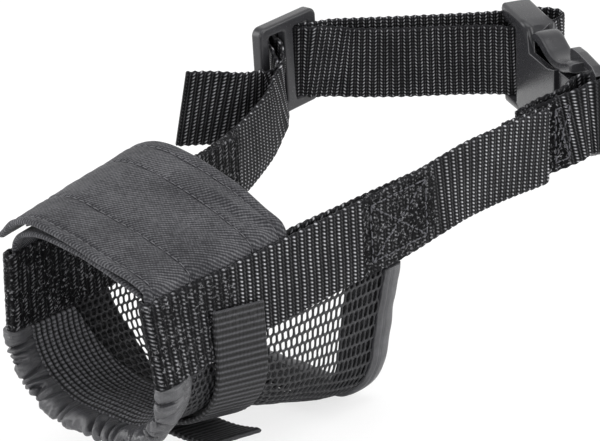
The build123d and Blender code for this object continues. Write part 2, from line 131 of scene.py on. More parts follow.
def smooth_noise(shape, cells, seed, wrap=False):
    """Band-limited value noise on a grid, -1 to 1."""
    g = np.random.default_rng(seed).uniform(-1, 1, (cells[0] + 3, cells[1] + 3))
    u = np.linspace(0, cells[0], shape[0])
    v = np.linspace(0, cells[1], shape[1])
    iu, iv = np.floor(u).astype(int), np.floor(v).astype(int)
    fu, fv = u - iu, v - iv
    fu, fv = fu * fu * (3 - 2 * fu), fv * fv * (3 - 2 * fv)
    a = g[np.ix_(iu, iv)]
    b = g[np.ix_(iu + 1, iv)]
    c = g[np.ix_(iu, iv + 1)]
    d = g[np.ix_(iu + 1, iv + 1)]
    fu, fv = fu[:, None], fv[None, :]
    return (a * (1 - fu) + b * fu) * (1 - fv) + (c * (1 - fu) + d * fu) * fv


WEB_PU, WEB_PV = 3.0, 1.17      # webbing weave: column pitch along, float pitch across


def weave_web(u, v, h=0.0):
    """Relief of the webbing: twisted cords across it, sunk rows between them; h 1 leans every other cord the other way."""
    x = u / WEB_PU
    k = np.floor(x)
    a = x - k - 0.5
    par = np.mod(k, 2)
    ph = v / WEB_PV + 0.5 * par * (1 - h) + (1 - 2 * h * par) * 1.25 * a
    rope = np.exp(-(a / 0.18) ** 2) * (0.60 + 0.40 * np.cos(2 * pi * ph))
    low = np.exp(-((np.abs(a) - 0.5) / 0.10) ** 2) * (0.5 - 0.5 * np.cos(2 * pi * ph))
    return 0.36 * rope + 0.13 * low - 0.14


def weave_gros(u, v):
    return 0.30 * np.abs(np.cos(pi * u / 1.85)) ** 0.7 - 0.15


def ribbon(name, C, W, mat, width=25.0, thick=1.45, du=0.5, dv=0.36, scallop=0.2,
           catm=True, u0=0.0, wobble=0.0, seed=3, end_round=0.0, wmul=None, pitch=WEB_PU, herr=0.0, sewn=()):
    """A woven strip swept along centre points C with width directions W."""
    C = np.asarray(C, float)
    W = np.asarray(W if W is not None else [(0, 0, 1)] * len(C), float)
    X = np.hstack([C, W] + ([np.asarray(wmul, float)[:, None]] if wmul is not None else []))
    if catm:
        X = catmull(X, 14)
    P, E, s = resample(X[:, :3], X[:, 3:], du)
    Wv = unit(E[:, :3])
    mul = E[:, 3] if wmul is not None else np.ones(len(s))
    T = unit(np.gradient(P, axis=0))
    Wv = unit(Wv - np.sum(Wv * T, 1, keepdims=True) * T)
    N = np.cross(T, Wv)
    m = int(width / dv) | 1
    v = np.linspace(-width / 2, width / 2, m)
    u = s + u0
    U, V = np.meshgrid(u, v, indexing="ij")
    edge = np.clip((np.abs(V) - (width / 2 - 1.6)) / 1.6, 0, 1)
    th = thick / 2 * np.sqrt(np.clip(1 - np.clip((np.abs(V) - (width / 2 - 0.7)) / 0.7, 0, 0.985) ** 2, 0, 1))
    F = np.zeros_like(u)
    for a, b, w in sewn:
        F = np.maximum(F, w * np.clip(np.minimum(u - a, b - u) / 1.5 + 0.5, 0, 1))
    F = np.clip(F[:, None] * (1.15 + 0.5 * smooth_noise(U.shape, (max(int(s[-1] / 6), 2), 7), seed + 50)), 0, 1) * (F[:, None] > 0)
    fz = 0.20 * smooth_noise(U.shape, (int(s[-1] / 0.9), int(width / 0.8)), seed + 30)
    K = WEB_PU / pitch
    h = (weave_web(U * K, V, herr) * (1 - F) + fz * F) * (1 - 0.6 * edge)
    h2 = (weave_web(U * K + WEB_PU / 2, V + WEB_PV / 2, herr) * (1 - F) + fz * F) * (1 - 0.6 * edge)
    Vs = V * mul[:, None] + np.sign(V) * edge * scallop * np.cos(2 * pi * (U / WEB_PU + 0.25 * np.sign(V)))
    if end_round:
        for e in (U - u[0], u[-1] - U):
            t = np.clip(1 - e / end_round, 0, 1)
            Vs = Vs * (1 - 0.10 * t ** 3)
    wob = wobble * smooth_noise(U.shape, (max(int(s[-1] / 22), 2), 3), seed) if wobble else 0
    base = P[:, None, :] + Wv[:, None, :] * Vs[..., None] + N[:, None, :] * (np.asarray(wob)[..., None] if wobble else 0)
    top = base + N[:, None, :] * (th + h)[..., None]
    bot = base - N[:, None, :] * (th + h2)[..., None]
    G = np.concatenate([top, bot[:, ::-1]], axis=1)
    AU = np.concatenate([U * K, (U * K + WEB_PU / 2)[:, ::-1]], axis=1)
    AF = np.concatenate([F, F[:, ::-1]], axis=1)
    AV = np.concatenate([V, (V + WEB_PV / 2)[:, ::-1]], axis=1)
    AE = np.concatenate([edge, edge[:, ::-1]], axis=1)
    ob = new_object(name, G.reshape(-1, 3), loop_grid(G), mat, {"wu": AU, "wv": AV, "we": AE, "wf": AF, "wh": np.full_like(AU, herr)})
    return ob


def threads(name, segs, mat, r=0.3, lift=0.12, ring=6, rows=5):
    """Short stitches: each (a, b, normal) becomes a bowed, tapered thread."""
    V, F = [], []
    for a, b, n in segs:
        a, b, n = np.asarray(a, float), np.asarray(b, float), unit(np.asarray(n, float))
        d = b - a
        t = unit(d)
        side = np.cross(n, t)
        base = len(V)
        for i in range(rows + 1):
            s = i / rows
            rr = r * (0.35 + 0.65 * math.sin(pi * s) ** 0.5) if 0 < s < 1 else r * 0.3
            c = a + d * s + n * (lift * math.sin(pi * s) - 0.25 * r * (1 - math.sin(pi * s)))
            for k in range(ring):
                q = 2 * pi * k / ring
                V.append(c + side * math.cos(q) * rr + n * math.sin(q) * rr * 0.9)
        for i in range(rows):
            for k in range(ring):
                k2 = (k + 1) % ring
                F.append((base + i * ring + k, base + i * ring + k2, base + (i + 1) * ring + k2, base + (i + 1) * ring + k))
        F.append(tuple(base + k for k in range(ring))[::-1])
        F.append(tuple(base + rows * ring + k for k in range(ring)))
    return new_object(name, np.array(V), F, mat)


def stitch_line(points, normals, pitch=2.6, length=1.9):
    """Cuts a polyline into stitches."""
    P, E, s = resample(np.asarray(points, float), np.asarray(normals, float), 0.25)
    out = []
    x = 0.3
    while x + length < s[-1]:
        i, j = np.searchsorted(s, x), np.searchsorted(s, x + length)
        out.append((P[i], P[min(j, len(P) - 1)], E[i]))
        x += pitch
    return out


# ------------------------------------------------------------------ material helpers
class Nodes:
    def __init__(self, name):
        self.mat = bpy.data.materials.new(name)
        self.mat.use_nodes = True
        self.t = self.mat.node_tree
        self.p = self.t.nodes["Principled BSDF"]
        self.out = self.t.nodes["Material Output"]

    def put(self, sock, val):
        if hasattr(val, "is_linked") or isinstance(val, bpy.types.NodeSocket):
            self.t.links.new(val, sock)
        elif val is not None:
            sock.default_value = val

    def m(self, op, a, b=None, c=None, clamp=False):
        n = self.t.nodes.new("ShaderNodeMath")
        n.operation = op
        n.use_clamp = clamp
        self.put(n.inputs[0], a)
        if b is not None:
            self.put(n.inputs[1], b)
        if c is not None:
            self.put(n.inputs[2], c)
        return n.outputs[0]

    def attr(self, name):
        n = self.t.nodes.new("ShaderNodeAttribute")
        n.attribute_name = name
        return n.outputs["Fac"]

    def pos(self, scale=1000.0):
        n = self.t.nodes.new("ShaderNodeTexCoord")
        v = self.t.nodes.new("ShaderNodeVectorMath")
        v.operation = "SCALE"
        self.t.links.new(n.outputs["Object"], v.inputs[0])
        v.inputs["Scale"].default_value = scale
        return v.outputs[0]

    def noise(self, vec, scale, detail=3.0, rough=0.55):
        n = self.t.nodes.new("ShaderNodeTexNoise")
        self.t.links.new(vec, n.inputs["Vector"])
        n.inputs["Scale"].default_value = scale
        n.inputs["Detail"].default_value = detail
        n.inputs["Roughness"].default_value = rough
        return n.outputs["Fac"]

    def voronoi(self, vec, scale, feature="F1"):
        n = self.t.nodes.new("ShaderNodeTexVoronoi")
        n.feature = feature
        self.t.links.new(vec, n.inputs["Vector"])
        n.inputs["Scale"].default_value = scale
        return n.outputs["Distance"]

    def ramp(self, fac, stops):
        n = self.t.nodes.new("ShaderNodeValToRGB")
        self.t.links.new(fac, n.inputs["Fac"])
        el = n.color_ramp.elements
        while len(el) < len(stops):
            el.new(0.5)
        for e, (p, c) in zip(el, stops):
            e.position = p
            e.color = (*c, 1) if len(c) == 3 else c
        return n.outputs["Color"]

    def mix(self, fac, a, b):
        n = self.t.nodes.new("ShaderNodeMix")
        n.data_type = "RGBA"
        self.put(n.inputs[0], fac)
        for s, v in ((n.inputs[6], a), (n.inputs[7], b)):
            self.put(s, (*v, 1) if isinstance(v, tuple) and len(v) == 3 else v)
        return n.outputs[2]

    def bump(self, height, dist, strength=1.0, prev=None):
        n = self.t.nodes.new("ShaderNodeBump")
        self.t.links.new(height, n.inputs["Height"])
        n.inputs["Distance"].default_value = dist * MM
        n.inputs["Strength"].default_value = strength
        if prev is not None:
            self.t.links.new(prev, n.inputs["Normal"])
        return n.outputs["Normal"]

    def finish(self, color, rough, normal=None, sheen=0.0, sheen_rough=0.4, spec=0.5, coat=0.0, sheen_tint=(1, 1, 1)):
        self.put(self.p.inputs["Base Color"], (*color, 1) if isinstance(color, tuple) else color)
        self.put(self.p.inputs["Roughness"], rough)
        if normal is not None:
            self.put(self.p.inputs["Normal"], normal)
        self.p.inputs["Sheen Weight"].default_value = sheen
        self.p.inputs["Sheen Roughness"].default_value = sheen_rough
        self.p.inputs["Sheen Tint"].default_value = (*sheen_tint, 1)
        self.p.inputs["Specular IOR Level"].default_value = spec
        self.p.inputs["Coat Weight"].default_value = coat
        return self.mat


def webbing_material():
    n = Nodes("webbing_nylon")
    u, v, e, f, hh = n.attr("wu"), n.attr("wv"), n.attr("we"), n.attr("wf"), n.attr("wh")
    x = n.m("DIVIDE", n.m("ADD", u, 3000.0 * WEB_PU), WEB_PU)
    k = n.m("FLOOR", x)
    a = n.m("SUBTRACT", n.m("FRACT", x), 0.5)
    par = n.m("MODULO", k, 2.0)
    sgn = n.m("SUBTRACT", 1.0, n.m("MULTIPLY", n.m("MULTIPLY", hh, par), 2.0))
    ph = n.m("ADD", n.m("DIVIDE", v, WEB_PV), n.m("MULTIPLY", n.m("MULTIPLY", par, 0.5), n.m("SUBTRACT", 1.0, hh)))
    ph = n.m("ADD", ph, n.m("MULTIPLY", n.m("MULTIPLY", sgn, a), 1.25))
    co = n.m("COSINE", n.m("MULTIPLY", ph, 2 * pi))
    rope = n.m("POWER", 2.71828, n.m("MULTIPLY", n.m("POWER", n.m("DIVIDE", n.m("ABSOLUTE", a), 0.13), 2.0), -1.0))
    dash = n.m("POWER", n.m("ADD", n.m("MULTIPLY", co, 0.5), 0.5), 2.6)
    mask = n.m("MULTIPLY", rope, n.m("ADD", 0.02, n.m("MULTIPLY", dash, 0.98)))
    gap = n.m("POWER", 2.71828, n.m("MULTIPLY", n.m("POWER", n.m("DIVIDE", n.m("ABSOLUTE", n.m("SUBTRACT", n.m("ABSOLUTE", a), 0.5)), 0.09), 2.0), -1.0))
    mask = n.m("ADD", mask, n.m("MULTIPLY", n.m("MULTIPLY", gap, n.m("SUBTRACT", 1.0, dash)), 0.09))
    pos = n.pos()
    big = n.noise(pos, 0.10, 3)
    fine = n.noise(pos, 2.6, 4, 0.7)
    spk = n.m("MULTIPLY", n.m("SUBTRACT", n.noise(pos, 1.0, 3, 0.65), 0.57), 9.0, clamp=True)
    spk = n.m("MULTIPLY", spk, n.m("ADD", 0.25, n.m("MULTIPLY", fine, 0.75)))
    mask = n.m("ADD", n.m("MULTIPLY", mask, n.m("SUBTRACT", 1.0, f)), n.m("MULTIPLY", n.m("MULTIPLY", spk, 0.75), f))
    mask = n.m("MULTIPLY", mask, n.m("ADD", 0.10, n.m("MULTIPLY", n.m("MULTIPLY", big, fine), 3.6)), clamp=True)
    fibre = n.m("SINE", n.m("ADD", n.m("MULTIPLY", v, 2 * pi / 0.36), n.m("MULTIPLY", u, 2 * pi / 0.7)))
    base = n.mix(fine, (0.0006, 0.0006, 0.0008), (0.0035, 0.0035, 0.004))
    # light colour of the floats: painted glint on the raised floats of the black nylon; the dash pattern itself is the
    # weave
    col = n.mix(mask, base, (0.42, 0.42, 0.445))
    col = n.mix(n.m("MULTIPLY", e, 0.22), col, (0.03, 0.03, 0.034))
    hgt = n.m("ADD", n.m("MULTIPLY", mask, 0.7), n.m("MULTIPLY", n.m("ADD", fibre, n.m("MULTIPLY", fine, 1.5)), 0.13))
    nor = n.bump(hgt, 0.20, 0.9)
    n.put(n.p.inputs["Specular IOR Level"], 0.0)
    mat = n.finish(col, n.m("SUBTRACT", 0.60, n.m("MULTIPLY", mask, 0.25)), nor, spec=0.1)
    n.put(n.p.inputs["Specular IOR Level"], n.m("ADD", 0.05, n.m("MULTIPLY", mask, 0.9)))
    return mat


def grosgrain_material():
    n = Nodes("grosgrain_ribbed")
    u, v = n.attr("wu"), n.attr("wv")
    pos = n.pos()
    fine = n.noise(pos, 2.2, 4, 0.7)
    rib = n.m("ABSOLUTE", n.m("COSINE", n.m("MULTIPLY", u, pi / 1.85)))
    thr = n.m("ADD", 0.5, n.m("MULTIPLY", n.m("SINE", n.m("ADD", n.m("MULTIPLY", v, 2 * pi / 0.55), n.m("MULTIPLY", u, 1.3))), 0.5))
    top = n.m("MULTIPLY", n.m("POWER", rib, 5.0), n.m("ADD", 0.35, n.m("MULTIPLY", n.m("MULTIPLY", thr, fine), 1.4)), clamp=True)
    # rib crests painted light against the black ground: painted highlight on the ribs; the rib spacing is the weave
    col = n.mix(top, (0.0010, 0.0010, 0.0014), (0.066, 0.066, 0.072))
    nor = n.bump(n.m("ADD", n.m("MULTIPLY", thr, 0.5), fine), 0.16, 0.8)
    return n.finish(col, 0.62, nor, sheen=0.03, spec=0.25)


def twill_material():
    n = Nodes("nose_twill")
    u, v, line = n.attr("wu"), n.attr("wv"), n.attr("ws")
    pos = n.pos()
    big = n.noise(pos, 0.07, 3)
    mid = n.noise(pos, 0.5, 4, 0.6)
    fine = n.noise(pos, 3.5, 3, 0.7)
    diag = n.m("SINE", n.m("MULTIPLY", n.m("ADD", n.m("MULTIPLY", u, 0.84), n.m("MULTIPLY", v, 0.54)), 2 * pi / 0.86))
    cross = n.m("SINE", n.m("MULTIPLY", n.m("SUBTRACT", n.m("MULTIPLY", v, 0.84), n.m("MULTIPLY", u, 0.54)), 2 * pi / 0.8))
    tw = n.m("ADD", n.m("MULTIPLY", diag, 0.5), 0.5)
    spot = n.noise(pos, 1.1, 3, 0.75)
    lum = n.m("ADD", 0.5, n.m("ADD", n.m("MULTIPLY", n.m("SUBTRACT", tw, 0.5), 0.60), n.m("MULTIPLY", cross, 0.10)))
    lum = n.m("ADD", lum, n.m("MULTIPLY", n.m("SUBTRACT", mid, 0.5), 0.35))
    lum = n.m("ADD", lum, n.m("MULTIPLY", n.m("SUBTRACT", spot, 0.5), 1.2))
    lum = n.m("ADD", lum, n.m("MULTIPLY", n.m("SUBTRACT", big, 0.5), 0.8), clamp=True)
    col = n.ramp(lum, [(0.0, (0.006, 0.006, 0.008)), (0.5, (0.029, 0.029, 0.033)), (1.0, (0.105, 0.105, 0.112))])
    col = n.mix(n.m("MULTIPLY", line, 0.45), col, (0.020, 0.020, 0.024))
    hgt = n.m("ADD", n.m("MULTIPLY", diag, 0.5), n.m("ADD", n.m("MULTIPLY", cross, 0.2), n.m("MULTIPLY", fine, 0.9)))
    nor = n.bump(hgt, 0.10, 0.75)
    return n.finish(col, 0.74, nor, sheen=0.05, sheen_rough=0.45, spec=0.22)


def taffeta_material():
    n = Nodes("binding_taffeta")
    u, v, line = n.attr("wu"), n.attr("wv"), n.attr("ws")
    pos = n.pos()
    mid = n.noise(pos, 0.35, 4, 0.6)
    fine = n.noise(pos, 3.0, 3, 0.7)
    w1 = n.m("SINE", n.m("MULTIPLY", u, 2 * pi / 0.42))
    w2 = n.m("SINE", n.m("MULTIPLY", v, 2 * pi / 0.5))
    lum = n.m("ADD", n.m("MULTIPLY", mid, 0.8), n.m("ADD", n.m("MULTIPLY", fine, 0.3), n.m("MULTIPLY", n.m("MULTIPLY", w1, w2), 0.07)))
    col = n.ramp(lum, [(0.2, (0.010, 0.010, 0.012)), (0.6, (0.032, 0.032, 0.036)), (0.95, (0.075, 0.075, 0.082))])
    col = n.mix(n.m("MULTIPLY", line, 0.5), col, (0.022, 0.022, 0.025))
    nor = n.bump(n.m("ADD", n.m("MULTIPLY", w1, 0.4), n.m("ADD", n.m("MULTIPLY", w2, 0.35), fine)), 0.07, 0.7)
    n.p.inputs["Anisotropic"].default_value = 0.4
    return n.finish(col, 0.36, nor, sheen=0.04, spec=0.65)


def knit_material(name, hi):
    n = Nodes(name)
    u, v = n.attr("wy"), n.attr("wu")
    pos = n.pos()
    fine = n.noise(pos, 2.4, 4, 0.75)
    rib = n.m("ABSOLUTE", n.m("SINE", n.m("MULTIPLY", u, pi / 1.9)))
    zig = n.m("ABSOLUTE", n.m("SINE", n.m("ADD", n.m("MULTIPLY", v, pi / 1.3), n.m("MULTIPLY", fine, 5.0))))
    h = n.m("MULTIPLY", rib, n.m("ADD", 0.12, n.m("MULTIPLY", zig, 0.95)))
    # raised stitches painted light against the black ground: painted highlight on the knit's ribs and loops; the
    # pattern is the knit
    col = n.mix(n.m("MULTIPLY", n.m("POWER", n.m("MULTIPLY", n.m("MULTIPLY", h, fine), 1.8), 1.6), 1.0, clamp=True), (0.0012, 0.0012, 0.0016), hi)
    nor = n.bump(n.m("ADD", h, n.m("MULTIPLY", fine, 0.5)), 0.3, 0.9)
    return n.finish(col, 0.85, nor, sheen=0.05, spec=0.2)


def net_material():
    n = Nodes("net_nylon")
    pos = n.pos()
    fine = n.noise(pos, 1.9, 4, 0.7)
    knots = n.voronoi(pos, 0.6)
    col = n.mix(n.m("POWER", fine, 2.5), (0.003, 0.003, 0.004), (0.075, 0.075, 0.082))
    nor = n.bump(n.m("ADD", fine, n.m("MULTIPLY", knots, 0.4)), 0.25, 0.9)
    return n.finish(col, 0.5, nor, sheen=0.0, spec=0.35)


def fuzz_material(name, lo, hi):
    n = Nodes(name)
    pos = n.pos()
    fine = n.noise(pos, 3.0, 5, 0.8)
    cell = n.voronoi(pos, 1.1)
    col = n.mix(n.m("MULTIPLY", fine, n.m("ADD", cell, 0.4), clamp=True), lo, hi)
    nor = n.bump(n.m("ADD", fine, cell), 0.5, 1.0)
    return n.finish(col, 0.9, nor, sheen=0.1, sheen_rough=0.6, spec=0.15)


def thread_material():
    n = Nodes("sewing_thread")
    pos = n.pos()
    fine = n.noise(pos, 4.0, 3, 0.7)
    tw = n.m("SINE", n.m("ADD", n.m("MULTIPLY", n.m("MULTIPLY", fine, 1.0), 6.0), 0.0))
    col = n.mix(fine, (0.05, 0.05, 0.056), (0.17, 0.17, 0.18))
    nor = n.bump(n.m("ADD", fine, n.m("MULTIPLY", tw, 0.2)), 0.12, 0.8)
    return n.finish(col, 0.6, nor, sheen=0.03, spec=0.25)


def dark_thread_material():
    n = Nodes("dark_thread")
    pos = n.pos()
    fine = n.noise(pos, 4.0, 3, 0.7)
    col = n.mix(fine, (0.02, 0.02, 0.024), (0.13, 0.13, 0.145))
    nor = n.bump(fine, 0.12, 0.8)
    return n.finish(col, 0.6, nor, sheen=0.03, spec=0.25)


def plastic_material():
    n = Nodes("moulded_plastic")
    pos = n.pos()
    big = n.noise(pos, 0.09, 3)
    fine = n.noise(pos, 5.0, 4, 0.6)
    grain = n.noise(pos, 1.6, 5, 0.65)
    bev = n.t.nodes.new("ShaderNodeBevel")
    bev.samples = 6
    bev.inputs["Radius"].default_value = 0.6 * MM
    geo = n.t.nodes.new("ShaderNodeNewGeometry")
    dotn = n.t.nodes.new("ShaderNodeVectorMath")
    dotn.operation = "DOT_PRODUCT"
    n.t.links.new(bev.outputs[0], dotn.inputs[0])
    n.t.links.new(geo.outputs["Normal"], dotn.inputs[1])
    edge = n.m("MULTIPLY", n.m("SUBTRACT", 1.0, dotn.outputs["Value"]), 5.0, clamp=True)
    # edge colour: painted highlight along the moulded edges that the bevel finds, broken up by the grain noise
    painted_edge_highlight = n.m("MULTIPLY", edge, n.m("ADD", 0.35, grain), clamp=True)
    col = n.ramp(n.m("ADD", n.m("MULTIPLY", big, 0.6), n.m("MULTIPLY", fine, 0.4)), [(0.25, (0.017, 0.017, 0.019)), (0.8, (0.033, 0.033, 0.036))])
    col = n.mix(n.m("MULTIPLY", painted_edge_highlight, 0.9), col, (0.20, 0.20, 0.21))
    nor = n.bump(n.m("ADD", fine, n.m("MULTIPLY", grain, 0.6)), 0.05, 0.5, bev.outputs[0])
    return n.finish(col, n.m("ADD", 0.12, n.m("MULTIPLY", grain, 0.24)), nor, spec=0.34)


MAT = dict(web=webbing_material(), gros=grosgrain_material(), twill=twill_material(), taffeta=taffeta_material(),
           knit=knit_material("lining_knit", (0.20, 0.20, 0.215)), facing=knit_material("facing_knit", (0.022, 0.022, 0.025)), net=net_material(), hook=fuzz_material("hook_tape", (0.004, 0.004, 0.005), (0.06, 0.06, 0.065)),
           loop=fuzz_material("loop_tape", (0.006, 0.006, 0.007), (0.09, 0.09, 0.10)), thread=thread_material(),
           dthread=dark_thread_material(), plastic=plastic_material())

# ------------------------------------------------------------------ shape of the muzzle tube
Y_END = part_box("rear_binding")[1].y / MM        # 100 mm
OUT = 1.5


def side_x(y):
    return 25.7 + 0.05 * y


BT = np.array([(-5, -21.8), (14.2, -22.3), (22, -24.0), (30, -25.4), (38, -27.4), (44, -30.4), (52, -34.2), (60, -36.4), (80, -39.6), (93, -40.8), (110, -41.2)])
CR = np.array([(-5, 19.0), (15, 20.0), (42, 23.0), (63, 20.5), (76, 16.5), (90, 13.0), (110, 12.0)])      # corner radius


def bottom_z(y):
    return np.interp(y, BT[:, 0], BT[:, 1])


def corner_r(y):
    return np.interp(y, CR[:, 0], CR[:, 1])


def u_point(g, y, off=0.0, top=8.0):
    """Point and outward normal on the U at girth share g (0 left top, 1 right top)."""
    w = side_x(y) + off
    zb = bottom_z(y) - off
    r = corner_r(y) + off
    L1 = top - (zb + r)
    L2 = r * pi / 2
    L3 = 2 * (w - r)
    tot = 2 * L1 + 2 * L2 + L3
    s = np.asarray(g) * tot
    x = np.zeros_like(s); z = np.zeros_like(s); nx = np.zeros_like(s); nz = np.zeros_like(s)
    m = s < L1
    x = np.where(m, w, x); z = np.where(m, top - s, z); nx = np.where(m, 1.0, nx)
    m = (s >= L1) & (s < L1 + L2)
    a = (s - L1) / r
    x = np.where(m, w - r + r * np.cos(a), x); z = np.where(m, zb + r - r * np.sin(a), z)
    nx = np.where(m, np.cos(a), nx); nz = np.where(m, -np.sin(a), nz)
    m = (s >= L1 + L2) & (s < L1 + L2 + L3)
    x = np.where(m, w - r - (s - L1 - L2), x); z = np.where(m, zb, z); nz = np.where(m, -1.0, nz)
    m = (s >= L1 + L2 + L3) & (s < tot - L1)
    a = (s - L1 - L2 - L3) / r
    x = np.where(m, -(w - r) - r * np.sin(a), x); z = np.where(m, zb + r - r * np.cos(a), z)
    nx = np.where(m, -np.sin(a), nx); nz = np.where(m, -np.cos(a), nz)
    m = s >= tot - L1
    x = np.where(m, -w, x); z = np.where(m, zb + r + (s - (tot - L1)), z); nx = np.where(m, -1.0, nx)
    return x, z, nx, nz, s


def warp(P):
    """The soft tube's sag: the front splays at the bottom, the rear edge leans forward going down."""
    P = np.array(P, float)
    x, y, z = P[..., 0].copy(), P[..., 1].copy(), P[..., 2]
    t = np.clip(1 - y / 38.0, 0, 1)
    A = t * t * (3 - 2 * t)
    B = np.where(z > 0, np.clip((25 - z) / 25, 0, 1), np.clip(1 + z / 45, 0.4, 1))
    dx = np.where(x > 0, -1.2 + 3.6 * B, -1.4 - 2.4 * B) * np.clip(np.abs(x) / 20, 0, 1)
    P[..., 0] = x + dx * A
    k = np.clip((y - 45) / 50.0, 0, 1)
    P[..., 1] = y - 0.30 * np.clip(-z - 1, 0, None) * k * k * (3 - 2 * k)
    return P


def u_total(y, off, top):
    w = side_x(y) + off
    zb = bottom_z(y) - off
    r = corner_r(y) + off
    return 2 * (top - zb - r) + r * pi + 2 * (w - r)


def sweep_u(name, ys, offs, top, mat, n=300, bump=None, attrs=None):
    """Sweeps a closed (y, offset) section round the U. bump(g, k) gives (dy, doff) arrays."""
    g = np.linspace(0, 1, n)
    cols, au, av = [], [], []
    for k, (y, o) in enumerate(zip(ys, offs)):
        x, z, nx, nz, s = u_point(g, y, o, top)
        P = np.stack([x, np.full_like(x, y), z], 1)
        if bump is not None:
            dy, do = bump(g, k)
            P[:, 0] += nx * do
            P[:, 2] += nz * do
            P[:, 1] += dy
        cols.append(P)
        au.append(s)
        av.append(np.full_like(s, y))
    G = np.stack(cols, 1)
    A = {"wu": np.stack(au, 1), "wv": np.stack(av, 1)}
    for key, fn in (attrs or {}).items():
        A[key] = np.stack([fn(g, k) for k in range(len(ys))], 1)
    return new_object(name, G.reshape(-1, 3), loop_grid(G), mat, A)


def shell(name, P, half, mat, dtop=0.0, dbot=0.0, attrs=None, flip=False, edge_mm=0.9):
    """Closed sheet round a middle surface P (rows, columns, xyz)."""
    Tu = np.gradient(P, axis=0)
    Tv = np.gradient(P, axis=1)
    N = unit(np.cross(Tu, Tv))
    if flip:
        N = -N
    wid = np.r_[0, np.cumsum(np.linalg.norm(np.diff(P[len(P) // 2], axis=0), axis=1))]
    d = np.minimum(wid, wid[-1] - wid)
    prof = np.sqrt(np.clip(1 - (1 - np.clip(d / edge_mm, 0.03, 1)) ** 2, 0.0, 1))[None, :]
    lng = np.r_[0, np.cumsum(np.linalg.norm(np.diff(P[:, P.shape[1] // 2], axis=0), axis=1))]
    dl = np.minimum(lng, lng[-1] - lng)
    pl = np.sqrt(np.clip(1 - (1 - np.clip(dl / edge_mm, 0.10, 1)) ** 2, 0.0, 1))[:, None]
    h = half * prof * pl
    top = P + N * (h + dtop * prof)[..., None]
    bot = P - N * (h + dbot * prof)[..., None]
    G = np.concatenate([top, bot[:, ::-1]], axis=1)
    U = np.repeat(lng[:, None], P.shape[1], 1)
    V = np.repeat(wid[None, :], P.shape[0], 0)
    A = {"wu": np.concatenate([U, U[:, ::-1]], 1), "wv": np.concatenate([V, V[:, ::-1]], 1)}
    for key, val in (attrs or {}).items():
        A[key] = np.concatenate([val, val[:, ::-1]], 1)
    return new_object(name, G.reshape(-1, 3), loop_grid(G), mat, A), N


def done(ob, body, slot, *nodes, blend=None, sag=False):
    if sag:
        co = np.zeros(len(ob.data.vertices) * 3, np.float32)
        ob.data.vertices.foreach_get("co", co)
        co = warp(co.reshape(-1, 3) / MM) * MM
        ob.data.vertices.foreach_set("co", co.astype(np.float32).ravel())
        ob.data.update()
    if blend:
        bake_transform(ob)
    else:
        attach(ob, body)
    if nodes:
        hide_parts(*nodes)
    return ob


# ------------------------------------------------------------------ buckle coordinates
F_BAR = np.array((-12.6, 221.6))
M_BAR = np.array((36.4, 192.0))
B_LEN = float(np.linalg.norm(M_BAR - F_BAR))
UB = (M_BAR - F_BAR) / B_LEN
NB = np.array((-UB[1], UB[0]))
Z_B = 14.5


def loc(s, n, z=Z_B):
    p = F_BAR + UB * s + NB * n
    return (p[0], p[1], z)


BD = unit(np.array((-62.4, 179.6)) - F_BAR)
BN = np.array((-BD[1], BD[0]))
if BN[0] > 0:
    BN = -BN


def back(t, n, z):
    p = F_BAR + BD * t + BN * n
    return (p[0], p[1], z)


# ------------------------------------------------------------------ straps
def fold(cx, cy, r, sign, z=12.5):
    return [(sign * (cx + r * math.cos(pi + k * pi / 8)), cy + r * math.sin(pi + k * pi / 8), z) for k in range(1, 8)]


def side_run(sign, inner_end, zin=12.5):
    pts = [(sign * (side_x(y) - (1.15 if y > 61 else OUT)), y, z) for y, z in
           ((inner_end, zin), ((inner_end + 60) / 2, (zin + 12.5) / 2), (60, 12.5), (40, 12.5), (20, 12.5), (6, 12.5))]
    pts += fold(side_x(2.3), 2.3, OUT, sign)
    return pts + [(sign * (side_x(y) + OUT), y, 12.5) for y in (6, 20, 40, 60)]


left_pts = side_run(1, 114.0, 11.0) + [
    (side_x(82) + OUT, 82, 12.4), (side_x(100) + 1.25, 100, 12.1), (32.6, 114, 12.9), (33.2, 122, 13.6), (33.4, 131, 13.8),
    (33.5, 145, 12.9), (33.6, 158, 11.5), (33.7, 166, 10.5), (33.6, 171.0, 10.0), (32.7, 172.3, 9.9), (31.8, 171.0, 10.0),
    (31.7, 163, 10.8), (31.7, 150, 12.2)]
near_strap = ribbon("near_side_strap", left_pts, None, MAT["web"], wobble=0.12, seed=5,
                    sewn=((-2, 32, 0.8), (72, 146, 0.5), (197, 230, 0.72)))
done(near_strap, None, "webbing", "left_side_webbing", blend=("muzzle", "plug", (33, 125, 12), (33, 168, 12)), sag=True)

WRAP = 3.25
loop_pts = [(29.6, 163, 10.8), (30.6, 170, 11.0), (33.2, 176.5, 11.8), (37.3, 184, 13.6), loc(B_LEN + WRAP, -2.0, 14.3), loc(B_LEN + WRAP, 0.3),
            loc(B_LEN + WRAP * .72, WRAP * .72), loc(B_LEN, WRAP), loc(B_LEN - WRAP * .72, WRAP * .72), loc(B_LEN - WRAP, 0.2),
            loc(B_LEN - WRAP - .1, -4.0, 14.2), (32.0, 181.5, 13.2), (28.9, 173, 11.6), (27.7, 165, 10.8)]
loop_ob = ribbon("plug_strap_loop", loop_pts, None, MAT["web"], seed=6, sewn=((-2, 17, 1.0), (44, 70, 0.6)))
done(loop_ob, "plug", "webbing", "left_strap_end_loop")

